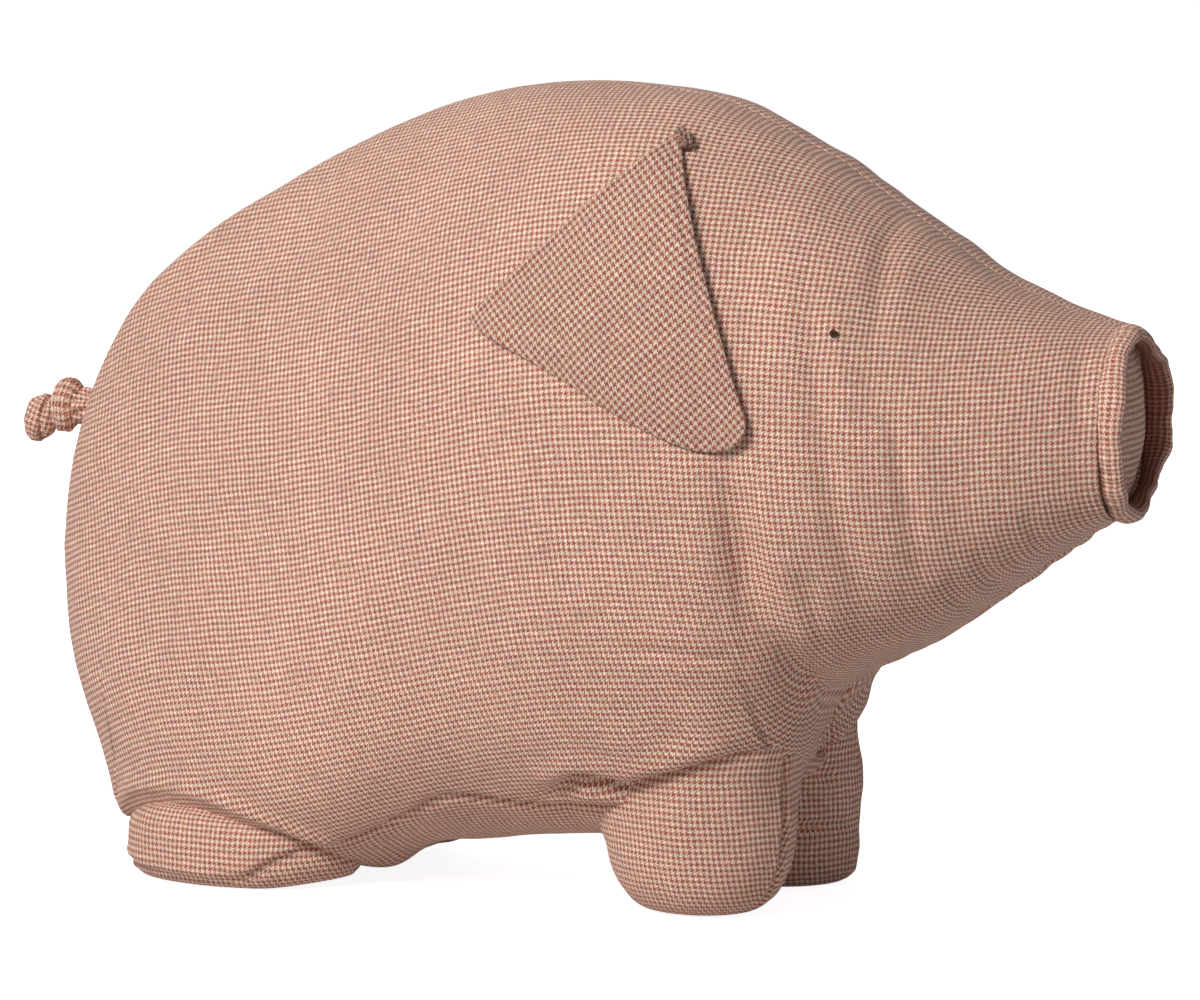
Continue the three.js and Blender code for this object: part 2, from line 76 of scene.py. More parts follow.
# Rows of the trunk: place along it, top, bottom and width, then the height of the widest place
# within the ring and how full the ring is above it
BODY_ROWS = [
    [0, 0.4, 0.4, 0, 0.44, 1.1], [0.0032, 0.473, 0.32, 0.075, 0.42, 1.15],
    [0.0096, 0.511, 0.28, 0.15, 0.39, 1.22], [0.0224, 0.569, 0.218, 0.235, 0.35, 1.3],
    [0.0385, 0.616, 0.156, 0.315, 0.32, 1.36], [0.0577, 0.66, 0.098, 0.39, 0.29, 1.4],
    [0.0897, 0.716, 0.051, 0.475, 0.25, 1.44], [0.1346, 0.764, 0.033, 0.575, 0.22, 1.45],
    [0.1923, 0.813, 0.024, 0.665, 0.2, 1.43], [0.2564, 0.855, 0.018, 0.75, 0.2, 1.38],
    [0.3365, 0.904, 0.013, 0.83, 0.21, 1.3], [0.4167, 0.945, 0.018, 0.895, 0.24, 1.2],
    [0.4872, 0.974, 0.047, 0.935, 0.29, 1.1], [0.5609, 0.993, 0.064, 0.965, 0.34, 1.02],
    [0.641, 1, 0.071, 0.99, 0.39, 0.96], [0.7212, 0.995, 0.078, 1, 0.42, 0.92],
    [0.7885, 0.984, 0.091, 0.995, 0.44, 0.92], [0.8397, 0.962, 0.12, 0.96, 0.44, 0.92],
    [0.891, 0.931, 0.171, 0.88, 0.44, 0.92], [0.9359, 0.887, 0.255, 0.76, 0.44, 0.92],
    [0.9679, 0.829, 0.356, 0.56, 0.44, 0.92], [0.9904, 0.727, 0.444, 0.34, 0.44, 0.92],
    [1, 0.575, 0.575, 0, 0.44, 0.92],
]
HEAD_ROWS = [
    [0, 0.5, 0.5, 0, 0.44, 0.92], [0.029, 0.69, 0.268, 0.49, 0.44, 0.92],
    [0.121, 0.866, 0.103, 0.77, 0.44, 0.92], [0.249, 0.95, 0.03, 0.91, 0.44, 0.92],
    [0.376, 0.96, 0.02, 0.93, 0.44, 0.92], [0.457, 0.924, 0.05, 0.91, 0.44, 0.92],
    [0.538, 0.879, 0.092, 0.86, 0.44, 0.92], [0.621, 0.832, 0.126, 0.785, 0.44, 0.92],
    [0.743, 0.763, 0.198, 0.665, 0.44, 0.92], [0.867, 0.717, 0.276, 0.53, 0.44, 0.92],
    [0.948, 0.695, 0.325, 0.42, 0.44, 0.92], [1, 0.684, 0.352, 0.36, 0.44, 0.92],
]

# How far below the floor a leg's rows start, which makes its sole flat
SOLE_SINK = 0.5

# Rows of a leg, from the sole up: height, length and width, as shares
FRONT_LEG_ROWS = [
    [0, 0, 0], [0.006, 0.42, 0.42], [0.035, 0.66, 0.66], [0.12, 0.84, 0.86], [0.28, 0.97, 0.97],
    [0.5, 1, 1], [0.78, 0.86, 0.84], [0.94, 0.5, 0.5], [1, 0, 0],
]
HIND_LEG_ROWS = [
    [0, 0, 0], [0.012, 0.78, 0.72], [0.06, 0.92, 0.88], [0.16, 0.985, 0.97], [0.34, 1, 1],
    [0.6, 0.97, 0.94], [0.8, 0.78, 0.75], [0.94, 0.44, 0.42], [1, 0, 0],
]

# The seam between a side panel and the gusset: place along the trunk and height, as shares
SEAM_ROWS = [
    [0.1, 0.05], [0.173, 0.075], [0.263, 0.08], [0.406, 0.062], [0.506, 0.11], [0.558, 0.135],
    [0.675, 0.127], [0.84, 0.155], [0.929, 0.2], [0.977, 0.265], [1.019, 0.3], [1.058, 0.31],
]

# The middle line of the sections: place along and height, in millimetres
MIDDLE_ROWS = [
    [0, 110], [12, 113], [32, 122], [72, 126], [162, 138], [242, 150], [312, 155], [388.2, 166.5],
]


def smooth_rows(table, count=60):
    """The smooth curve through the rows of a table, with a count of steps between two rows."""
    rows = np.array(table, dtype=float)
    ended = np.vstack([rows[:1], rows, rows[-1:]])
    t = np.arange(count)[:, None] / count
    parts = []
    for a, b, c, d in zip(ended[:-3], ended[1:-2], ended[2:-1], ended[3:]):
        parts.append(b + 0.5 * t * (c - a + t * (2 * a - 5 * b + 4 * c - d + t * (3 * (b - c) + d - a))))
    parts.append(rows[-1:])
    return np.vstack(parts)


def power(value, full):
    return np.sign(value) * np.abs(value) ** full


def smooth_step(value, low, high):
    t = np.clip((value - low) / (high - low), 0, 1)
    return t * t * (3 - 2 * t)


def bell(distance, width):
    return np.exp(-((distance / width) ** 2))


def full_turn(count):
    return np.linspace(0, 2 * math.pi, count)


def joined(*values):
    """Points or cloth places from their values for each axis, which may be single numbers."""
    return np.stack(np.broadcast_arrays(*values), axis=-1)


def noise(points, size, seed):
    """Smooth noise, about -1 to 1, with bumps of a size, at an array of points."""
    rng = np.random.default_rng(seed)
    order = rng.permutation(256)
    slopes = rng.normal(size=(256, 3))
    slopes /= np.linalg.norm(slopes, axis=1)[:, None]
    cell = np.asarray(points, dtype=float) / size
    low = np.floor(cell).astype(int)
    t = cell - low
    fade = t**3 * (t * (6 * t - 15) + 10)
    total = np.zeros(cell.shape[:-1])
    for corner in itertools.product((0, 1), repeat=3):
        i, j, k = (low[..., axis] + corner[axis] for axis in range(3))
        slope = slopes[order[(order[(order[i & 255] + j) & 255] + k) & 255]]
        weight = np.prod(np.where(np.array(corner) == 1, fade, 1 - fade), axis=-1)
        total += weight * np.sum(slope * (t - np.array(corner)), axis=-1)
    return 1.6 * total


class Form:
    """The trunk or the head, as smooth rows in millimetres."""

    def __init__(self, table, start, length, floor, height, width):
        place, top, bottom, wide, waist, full = smooth_rows(table).T
        self.x = start + place * length
        self.rows = (floor + top * height, floor + bottom * height, wide * width / 2, waist, full)

    def at(self, x):
        """Top, bottom, half width, share of the height below the widest place, and fullness above it."""
        return [np.interp(x, self.x, row) for row in self.rows]

    def radii(self, x, centre, angles):
        """How far the section at x reaches from its middle line, at angles from the top."""
        if not self.x[0] < x <= self.x[-1]:
            return np.zeros_like(angles)
        top, bottom, half, waist, full = self.at(x)
        waist = bottom + waist * (top - bottom)
        if not bottom < centre < top:
            return np.zeros_like(angles)
        turn = np.linspace(0, math.pi, 361)
        fullness = np.where(turn < math.pi / 2, full, LOW_FULL)
        rise = power(np.cos(turn), fullness)
        y = power(np.abs(np.sin(turn)), fullness) * half
        z = waist + rise * np.where(rise > 0, top - waist, waist - bottom) - centre
        return np.interp(angles, np.arctan2(y, z), np.hypot(y, z))


BODY = Form(BODY_ROWS, 0, BODY_LENGTH, 0, BODY_HEIGHT, BODY_WIDTH)
HEAD = Form(HEAD_ROWS, HEAD_START, HEAD_LENGTH, HEAD_FLOOR, HEAD_HEIGHT, HEAD_WIDTH)
MIDDLE = smooth_rows(MIDDLE_ROWS)
SEAM = smooth_rows(SEAM_ROWS) * [BODY_LENGTH, BODY_HEIGHT]


def middle_height(x):
    return np.interp(x, MIDDLE[:, 0], MIDDLE[:, 1])


def section(x, count=721):
    """The half section of the whole skin at x, from its top to its bottom, as (y, z) rows."""
    centre = middle_height(x)
    angles = np.linspace(0, math.pi, count)
    a, b = BODY.radii(x, centre, angles), HEAD.radii(x, centre, angles)
    near = np.clip(1 - np.abs(a - b) / SOFTENING, 0, 1) * (np.minimum(a, b) > 0)
    radius = np.maximum(a, b) + SOFTENING * near**3 / 6
    return joined(radius * np.sin(angles), centre + radius * np.cos(angles))


def lengths_along(points):
    steps = np.linalg.norm(np.diff(points, axis=0), axis=1)
    return np.concatenate([[0], np.cumsum(steps)])


# Stations along the skin, evenly spaced along its widest line
COLUMNS = 300
TRIAL_X = np.unique(np.concatenate([np.linspace(0, 6, 60), np.linspace(6, SNOUT_X, 400)]))
TRIAL_HALF = np.array([section(x, 181)[:, 0].max() for x in TRIAL_X])
TRIAL_LENGTH = lengths_along(joined(TRIAL_X, TRIAL_HALF))
STATION_X = np.interp(np.linspace(0, TRIAL_LENGTH[-1], COLUMNS + 1), TRIAL_LENGTH, TRIAL_X)
SECTIONS = [section(x) for x in STATION_X]

# How far each section reaches from its middle line, by the angle from its top
RADII = np.array([np.hypot(p[::4, 0], p[::4, 1] - middle_height(x)) for x, p in zip(STATION_X, SECTIONS)])

# The place along the pig and the height from which the cloth's columns and slant are counted
ZERO_X = 202
ZERO_LEVEL = 128

# How far the cloth runs along the side at each station and height
LEVELS = np.linspace(0, BODY_HEIGHT, BODY_HEIGHT + 1)
HALF_WIDTHS = np.array([np.interp(LEVELS, s[::-1, 1], s[::-1, 0], left=0, right=0) for s in SECTIONS])
CLOTH_STEPS = np.hypot(np.diff(STATION_X)[:, None], np.diff(HALF_WIDTHS, axis=0))
CLOTH_ALONG = np.vstack([np.zeros(len(LEVELS)), np.cumsum(CLOTH_STEPS, axis=0)])
CLOTH_ALONG -= CLOTH_ALONG[np.searchsorted(STATION_X, ZERO_X)]

# How the stretched cloth slants: the degrees that its rows rise by towards the snout, by the place
# along the pig, and the degrees that its columns lean by at a height, at three places along it
ROW_RISE = [
    [0, 21], [38, 20], [70, 10], [100, 10], [128, 14.5], [157, 14.5], [185, 13.5], [211, 8.5], [237, 2.5],
    [262, -0.5], [284, -2], [307, -2.5], [329, -0.5], [350, 4.5], [373, 5.5], [395, 5],
]
LEAN_PLACES = [90, 220, 330]
COLUMN_LEAN = [
    [0, 20, 10, 27], [27, 20, 12, 27], [47, 22, 19, 27], [68, 18, 20, 27], [88, 16, 14, 20],
    [108, 16, 11, 14], [128, 17, 8, 9], [150, 15, 8, 4], [170, 11, 8, 1], [210, 3, 7, -4], [250, 2, 5, -5],
]

# How much wider or closer the columns lie than the even cloth, by the place along the pig
COLUMN_STRETCH = [[0, 0.93], [100, 0.9], [150, 0.93], [190, 1.03], [250, 1.06], [330, 1.05], [388, 1.02]]


def running_sum(places, values, zero_at):
    """The sum of values along evenly spaced places, counted from a place."""
    sums = np.cumsum(values) * (places[1] - places[0])
    return sums - np.interp(zero_at, places, sums)


ALONG = np.linspace(-10, SNOUT_X + 10, 200)
UPWARDS = np.linspace(-80, BODY_HEIGHT + 80, 200)
RISE_SUMS = running_sum(ALONG, np.tan(np.radians(np.interp(ALONG, *np.array(ROW_RISE).T))), 0)
STRETCH_SUMS = running_sum(ALONG, np.interp(ALONG, *np.array(COLUMN_STRETCH).T) - 1, ZERO_X)
LEAN_LEVELS, *LEANS = np.array(COLUMN_LEAN).T
LEAN_SUMS = [
    running_sum(UPWARDS, np.tan(np.radians(np.interp(UPWARDS, LEAN_LEVELS, lean))), ZERO_LEVEL)
    for lean in LEANS
]


def slanted(places, x):
    """The cloth places of points at x, slanted and stretched as the cloth is."""
    u, v = places[..., 0], places[..., 1]
    rear, middle, front = (np.interp(v, UPWARDS, sums) for sums in LEAN_SUMS)
    t = np.interp(x, LEAN_PLACES, (0, 1, 1))
    s = np.interp(x, LEAN_PLACES, (0, 0, 1))
    u = u + rear + t * (middle - rear) + s * (front - middle) + np.interp(x, ALONG, STRETCH_SUMS)
    return joined(u, v - np.interp(x, ALONG, RISE_SUMS))


def between_stations(table, x, level):
    """Values of a table of stations by levels, at places between them."""
    place = np.interp(x, STATION_X, np.arange(COLUMNS + 1.0))
    column = np.minimum(place.astype(int), COLUMNS - 1)
    row = np.minimum(level.astype(int), table.shape[1] - 2)
    s, t = place - column, level - row
    before, after = ((1 - t) * table[i, row] + t * table[i, row + 1] for i in (column, column + 1))
    return (1 - s) * before + s * after


def body_distance(points):
    """About how far points lie outside the smooth skin, or inside it below zero."""
    rise = points[..., 2] - middle_height(points[..., 0])
    turn = np.arctan2(np.abs(points[..., 1]), rise) / math.pi * (RADII.shape[1] - 1)
    return np.hypot(points[..., 1], rise) - between_stations(RADII, points[..., 0], turn)


def distance_to_path(points, path):
    """How far each point is from a path, and how far along it the nearest place is, as a share."""
    best = np.full(points.shape[:-1], np.inf)
    share = np.zeros(points.shape[:-1])
    path = np.asarray(path, dtype=float)
    total = lengths_along(path)
    for i in range(len(path) - 1):
        step = path[i + 1] - path[i]
        t = np.clip(np.sum((points - path[i]) * step, axis=-1) / max(np.dot(step, step), 1e-9), 0, 1)
        gap = np.linalg.norm(points - path[i] - t[..., None] * step, axis=-1)
        nearer = gap < best
        best = np.where(nearer, gap, best)
        share = np.where(nearer, (total[i] + t * np.linalg.norm(step)) / total[-1], share)
    return best, share


# Legs, with how far round the joint to the trunk the cloth is drawn smooth, at its rear and its front
FRONT_LEG = {
    "x": 0.8077 * BODY_LENGTH, "y": 0.2 * BODY_WIDTH, "length": 67, "width": 54, "height": 80,
    "rows": FRONT_LEG_ROWS, "joint": (7, 24), "joint_from": 228, "joint_to": 264,
    "seam": "ends", "overhang": 0.5, "toe_lift": 0.0,
    "creases": [([[226, -52, 16], [236, -60, 12], [250, -61, 11]], 0.5, 2.0)],
}
FAR_FRONT_LEG = {
    **FRONT_LEG, "y": 0.2 * BODY_WIDTH - 4, "joint": (7, 11), "overhang": 1.9,
    "rows": [[0, 0, 0], [0.006, 0.72, 0.72], [0.03, 0.9, 0.9], [0.1, 0.98, 0.98], *FRONT_LEG_ROWS[4:]],
    "creases": [
        ([[262, 10, 26], [272, 9, 21], [284, 16, 23]], 2.4, 1.7), ([[274, 9, 44], [285, 18, 36]], 2.0, 2),
    ],
}
HIND_LEG = {
    "x": 0.277 * BODY_LENGTH, "y": 0.22 * BODY_WIDTH, "length": 88, "width": 56, "height": 36,
    "rows": HIND_LEG_ROWS, "joint": (2, 2), "joint_from": 80, "joint_to": 100,
    "seam": "foot", "overhang": 2.3, "toe_lift": 3.0, "creases": [],
}


def front_leg(side):
    return FRONT_LEG if side < 0 else FAR_FRONT_LEG


def leg_distance(points, leg, side):
    """About how far points lie outside a leg, or inside it below zero."""
    rows = smooth_rows(leg["rows"], 8)
    size = (leg["length"] + leg["width"]) / 4
    across = (points[..., 0] - leg["x"]) / leg["length"]
    reach = 2 * size * np.hypot(across, (points[..., 1] - side * leg["y"]) / leg["width"])
    height = points[..., 2] + SOLE_SINK
    profile = joined(rows[:, 1] * size, rows[:, 0] * leg["height"])
    gap, _ = distance_to_path(joined(reach, height), profile)
    inside = reach < np.interp(height, profile[:, 1], profile[:, 0], left=0, right=0)
    return np.where(inside, -gap, gap)


def joint_rise(distance, leg, x):
    """How far the cloth is lifted where it runs from the trunk into a leg."""
    low, high = leg["joint"]
    reach = low + (high - low) * smooth_step(x, leg["joint_from"], leg["joint_to"])
    return reach / 4 * np.clip(1 - np.abs(distance) / reach, 0, 1) ** 2


def overhang(distance, leg):
    """How far the trunk's cloth bulges just outside a leg, so that it hangs over the leg's top."""
    return leg["overhang"] * bell(distance - 5, 3.2)


def normals_of(grid):
    """Unit vectors across a grid of points, rows by columns."""
    normal = np.cross(np.gradient(grid, axis=0), np.gradient(grid, axis=1))
    return normal / np.maximum(np.linalg.norm(normal, axis=-1, keepdims=True), 1e-9)


def make_object(name, points, faces, uv):
    """An object in the part's own frame, from points and cloth places in millimetres."""
    mesh = bpy.data.meshes.new(name)
    places = (np.asarray(points) - [MIDDLE_X, 0, 0]) * METRE
    mesh.from_pydata(places.tolist(), [], [list(map(int, face)) for face in faces])
    layer = mesh.uv_layers.new(name="Cloth")
    corners = np.empty(len(mesh.loops), dtype=int)
    mesh.loops.foreach_get("vertex_index", corners)
    layer.data.foreach_set("uv", (np.asarray(uv)[corners] * METRE).ravel())
    builder = bmesh.new()
    builder.from_mesh(mesh)
    bmesh.ops.remove_doubles(builder, verts=builder.verts, dist=1e-6)
    bmesh.ops.dissolve_degenerate(builder, edges=builder.edges, dist=1e-7)
    bmesh.ops.recalc_face_normals(builder, faces=builder.faces)
    builder.to_mesh(mesh)
    builder.free()
    mesh.polygons.foreach_set("use_smooth", [True] * len(mesh.polygons))
    obj = bpy.data.objects.new(name, mesh)
    bpy.context.scene.collection.objects.link(obj)
    return obj


def grid_faces(at):
    """The faces of a grid, from the numbers of its points."""
    return joined(at[:-1, :-1], at[:-1, 1:], at[1:, 1:], at[1:, :-1]).reshape(-1, 4)


def closed_object(name, grids):
    """An object from grids of points with cloth places, which meet in a closed surface."""
    points, places, faces, start = [], [], [], 0
    for grid, uv in grids:
        points.append(grid.reshape(-1, 3))
        places.append(uv.reshape(-1, 2))
        faces += list(grid_faces(start + np.arange(grid[..., 0].size).reshape(grid.shape[:2])))
        start += grid[..., 0].size
    return make_object(name, np.vstack(points), faces, np.vstack(places))


# The sides of a grid: its first and last rows, and its first and last columns
ALL_SIDES = np.s_[0, :], np.s_[-1, :], np.s_[:, 0], np.s_[:, -1]
LAST_ROW = ALL_SIDES[1:2]


def shell(name, parts, open_sides=ALL_SIDES):
    """A cloth piece from grids of points, cloth places and inward vectors.

    It has an outer face, a coarser inner face and the edges between them on its open sides.
    """
    points, uvs, faces, offset = [], [], [], 0
    for grid, uv, inward in parts:
        rows, columns = grid.shape[:2]
        inner = (grid + CLOTH_THICKNESS * inward)[::2, ::2]
        points += [grid.reshape(-1, 3), inner.reshape(-1, 3)]
        uvs += [uv.reshape(-1, 2), uv[::2, ::2].reshape(-1, 2)]
        outer_at = offset + np.arange(rows * columns).reshape(rows, columns)
        inner_at = outer_at[-1, -1] + 1 + np.arange(inner[..., 0].size).reshape(inner.shape[:2])
        faces += [*grid_faces(outer_at), *grid_faces(inner_at)[:, ::-1]]
        for side in open_sides:
            outer_edge, inner_edge = outer_at[side], inner_at[side]
            for i in range(len(inner_edge) - 1):
                a, b, c = outer_edge[2 * i : 2 * i + 3]
                d, e = inner_edge[i : i + 2]
                faces += [(a, b, d), (b, e, d), (b, c, e)]
        offset = inner_at[-1, -1] + 1
    return make_object(name, np.vstack(points), faces, np.vstack(uvs))


def crease(points, path, depth, width, ends=(0.25, 0.25)):
    """How far a crease along a path moves the cloth outwards: a valley between two soft ridges."""
    gap, share = distance_to_path(points, path)
    fade = smooth_step(share, 0, ends[0]) * smooth_step(1 - share, 0, ends[1])
    ridge = bell(gap - 2.2 * width, 1.4 * width)
    return depth * fade * (0.35 * ridge - bell(gap, width))


# Rows of a side panel above the seam, and the points of it that surely face sideways
PANEL_ROWS = 188
FLANK = np.s_[60:120, 60:220]

# Within this of a section's top or bottom the columns of the cloth run straight across
EVEN_WITHIN = 16.0
# Where the cloth stops following the lower rump round, and follows each section down
ROUND_RUMP = (14.0, 70.0)


def even_level(z, section_z, x):
    """Heights of a section's points, kept away from its top, and from its bottom ahead of the rump."""
    below_top, above_bottom = section_z[0] - z, z - section_z[-1]
    down = np.hypot(below_top, EVEN_WITHIN) - below_top
    up = np.hypot(above_bottom, EVEN_WITHIN * smooth_step(x, *ROUND_RUMP)) - above_bottom
    return z - down + up


def seam_height(x):
    """Height of the gusset's seam at a station, or the lowest place where there is no gusset."""
    return np.interp(x, SEAM[:, 0], SEAM[:, 1], left=-1, right=-1)


# A section whose side cloth takes more than this share of its length has no gusset
WHOLE_SHARE = 0.985


def split_sections():
    """The points and cloth places of a side panel, and where each section meets the seam."""
    panel = np.empty((PANEL_ROWS + 1, COLUMNS + 1, 3))
    places = np.empty((PANEL_ROWS + 1, COLUMNS + 1, 2))
    shares = []
    for column, (x, points) in enumerate(zip(STATION_X, SECTIONS)):
        along = lengths_along(points)
        seam = along[-1]
        if seam_height(x) > points[-1, 1]:
            cut = np.interp(-seam_height(x), -points[:, 1], along)
            seam = cut if cut < WHOLE_SHARE * along[-1] else seam
        share = np.linspace(0, 1, PANEL_ROWS + 1)
        wanted = seam * share * (1.3 - 0.3 * share)
        y, z = (np.interp(wanted, along, points[:, axis]) for axis in (0, 1))
        middle = np.interp(-middle_height(x), -points[:, 1], along)
        panel[:, column] = joined(x, y, z)
        round_rump = 1 - smooth_step(x, *ROUND_RUMP)
        by_level = np.interp(even_level(z, points[:, 1], x), LEVELS, CLOTH_ALONG[column])
        from_middle = np.interp(points[-1, 1] - 1, LEVELS, CLOTH_ALONG[column]) + y
        near_middle = round_rump * (1 - smooth_step(y, 4, 12)) * (z < middle_height(x))
        places[:, column, 0] = by_level + near_middle * (from_middle - by_level)
        above = middle - wanted
        level = np.minimum(z - middle_height(x), 0)
        places[:, column, 1] = middle_height(x) + above + round_rump * (level - np.minimum(above, 0))
        shares.append(seam / max(along[-1], 1e-9))
    return panel, places, np.array(shares)


PANEL, PANEL_PLACES, SEAM_SHARES = split_sections()
PANEL_PLACES = slanted(PANEL_PLACES, PANEL[..., 0])


def sewn_shell(name, grid, places, out, turn):
    """A panel with its seam allowance turned in at its first and last rows and its last column."""
    steps = np.array([SEAM_ALLOWANCE / 2, SEAM_ALLOWANCE])[:, None, None]

    def turned_in(edge, edge_places, edge_out, outside):
        return edge - edge_out * steps, edge_places + np.array(outside) * steps

    rows, beyond = turned_in(grid[0], places[0], out[0], (0, 1))
    grid, places = np.concatenate([rows[::-1], grid]), np.concatenate([beyond[::-1], places])
    rows, beyond = turned_in(grid[-1], places[-1], out[-1], (0, -1))
    grid, places = np.concatenate([grid, rows]), np.concatenate([places, beyond])
    last_out = np.pad(out[:, -1], ((2, 2), (0, 0)), mode="edge")
    rows, beyond = turned_in(grid[:, -1], places[:, -1], last_out, (1, 0))
    grid = np.concatenate([grid, rows.swapaxes(0, 1)], axis=1)
    places = np.concatenate([places, beyond.swapaxes(0, 1)], axis=1)
    return shell(name, [(grid, places, -turn * normals_of(grid))])


# Creases of a side, as places along and heights, with depth, width and how the ends fade
CREASES = [
    ([[276, 166], [279, 150], [281, 135], [284, 119], [287, 105], [290, 95]], 5.6, 5.0, (0.7, 0.45)),
    ([[289, 102], [292, 92], [295, 84], [298, 77]], 2.0, 3.4, (0.5, 0.3)),
    ([[291, 232], [299, 209], [304, 187], [308, 168], [311, 148], [315, 130], [319, 115], [323, 102]],
     1.5, 3.6, (0.35, 0.15)),
    ([[300, 124], [303, 108], [304, 92]], 1.7, 2.4, (0.4, 0.3)),
    ([[314, 236], [318, 220], [320, 205], [323, 190]], 1.4, 2.8, (0.2, 0.5)),
    ([[328, 182], [331, 158], [334, 141], [336, 125], [337, 110]], 1.5, 2.8, (0.35, 0.3)),
    ([[366, 147], [369, 135], [369, 124]], 1.3, 1.9, (0.4, 0.2)),
    ([[351, 131], [354, 119], [353, 106]], 1.5, 2.0, (0.4, 0.15)),
    ([[342, 122], [344, 108], [343, 98]], 1.2, 1.8, (0.4, 0.15)),
    ([[360, 138], [362, 127], [361, 117]], 0.8, 1.6, (0.4, 0.15)),
    ([[380, 198], [382, 176], [384, 158]], 0.9, 2.0, (0.3, 0.3)),
    ([[236, 95], [259, 93], [274, 91], [287, 93]], 1.2, 1.6, (0.4, 0.2)),
    ([[204, 36], [208, 39], [213, 42], [221, 46], [230, 46], [238, 44], [249, 49], [262, 54], [274, 59],
      [286, 62]], 6.0, 2.7, (0.2, 0.3)),
]
# Soft places that stand out: place along, height, how far out and how wide
BULGES = [
    (268, 110, 0.8, 14), (246, 62, 1.8, 9), (266, 68, 1.4, 10), (303, 101, 2.2, 9), (300, 145, 1.0, 12),
    (236, 60, 1.6, 14), (352, 160, 0.6, 16), (120, 120, 0.8, 50), (312, 176, 0.7, 12),
]


def puckers(points, seam_path, seed, count, reach, depth):
    """Short gathers that run from a seam into the cloth."""
    rng = np.random.default_rng(seed)
    gap, share = distance_to_path(points, seam_path)
    length = lengths_along(np.asarray(seam_path))[-1]
    along = share * length
    total = np.zeros(points.shape[:-1])
    for place in rng.uniform(0, length, count):
        width = rng.uniform(1.8, 3.4)
        long = reach * rng.uniform(0.5, 1.3)
        deep = depth * rng.uniform(0.3, 1.0)
        lean = rng.uniform(-0.25, 0.25)
        here = (np.abs(along - place) < 5 * width + long) & (gap < 3 * long)
        valley = bell(along[here] - place - lean * gap[here], width)
        total[here] -= deep * valley * bell(gap[here], long) * np.minimum(1, gap[here] / 1.5)
    return total


def seam_groove(gap, x=0.0):
    """How far a seam draws the cloth in, with more at the chin."""
    return -(2.0 + 1.2 * smooth_step(x, 250, 280)) * bell(gap, 2.0)


def skin_lumps(points, seed):
    """How far the stuffing and the slack move the cloth outwards, away from the seams."""
    lumps = 1.1 * noise(points, 46, seed) + 0.5 * noise(points, 19, seed + 1)
    fine = joined(points[..., 0] / 3.2, points[..., 1] / 2, points[..., 2])
    slack = 0.28 * noise(fine, 7, seed + 2) + 0.12 * noise(points, 5, seed + 3)
    return lumps + slack


# How far the lower part of the rump's edge is drawn in: height and reach
RUMP_DRAWN_IN = [
    [0, 0], [12, 1], [20, 3.2], [28, 6.4], [38, 7.6], [48, 6.8], [58, 4.6], [72, 1.8], [100, 0.5], [140, 0],
]


def softened(field, times=2):
    """Values on a grid, smoothed a little over it."""
    for _ in range(times):
        wide = np.pad(field, 1, mode="edge")
        wide = (wide[:-2] + 2 * wide[1:-1] + wide[2:]) / 4
        field = (wide[:, :-2] + 2 * wide[:, 1:-1] + wide[:, 2:]) / 4
    return field


def side_seed(side):
    return 100 + side


def side_moves(grid, side):
    """How far the skin of a side stands out from the smooth form, away from its seams."""
    moved = skin_lumps(grid, side_seed(side))
    flat = grid[..., [0, 2]]
    for path, depth, width, ends in CREASES:
        shift = [0, 0] if side < 0 else [7, -9]
        moved += crease(flat, np.array(path) + shift, depth, width, ends)
    for along, height, reach, width in BULGES:
        gap = np.hypot(flat[..., 0] - along, flat[..., 1] - height)
        moved += reach * bell(gap, width)
    return moved


def side_panel(name, side):
    grid = PANEL * [1, side, 1]
    heights, reaches = smooth_rows(RUMP_DRAWN_IN, 12).T
    grid[..., 0] += np.interp(grid[..., 2], heights, reaches) * smooth_step(-grid[..., 0], -76, -12)
    normal = normals_of(grid)
    turn = side * np.sign(np.sum(normal[FLANK][..., 1]))
    out = normal * turn
    out[:, 0] = [-1, 0, 0]
    middle_edges = [(0, slice(None)), (-1, np.abs(grid[-1, :, 1]) < 0.1)]
    for row, columns in middle_edges:
        out[row, columns, 1] = 0
        out[row, columns] /= np.linalg.norm(out[row, columns], axis=-1, keepdims=True)
    gaps = [distance_to_path(grid, grid[row, ::6])[0] for row in (0, -1)]
    moved = side_moves(grid, side) * smooth_step(np.minimum(*gaps), 0, 12)
    moved += puckers(grid, grid[0, ::6], side_seed(side) + 10, 34, 13, 0.22)
    moved += puckers(grid, grid[-1, ::6], side_seed(side) + 11, 80, 10, 0.55)
    for leg in (front_leg(side), HIND_LEG):
        distance = leg_distance(grid, leg, side)
        moved += joint_rise(distance, leg, grid[..., 0]) + overhang(distance, leg)
    moved = softened(moved) + 0.3 * seam_groove(gaps[0]) + seam_groove(gaps[1], grid[..., 0])
    grid = grid + moved[..., None] * out
    for row, columns in middle_edges:
        grid[row, columns, 1] = side * HALF_GAP
    return sewn_shell(name, grid, PANEL_PLACES, out, turn)


# The gusset between the two seams
GUSSET_ROWS = 76
GUSSET_FROM, GUSSET_TO = 32.0, 311.0

# Soft places of the gusset that stand out: place along and across, how far out and how wide
GUSSET_BULGES = [
    (137, -27, 3.4, 9), (137, 27, 3.4, 9), (286, 12, 3.0, 11), (176, -20, 1.5, 16), (182, 18, 1.5, 16),
]


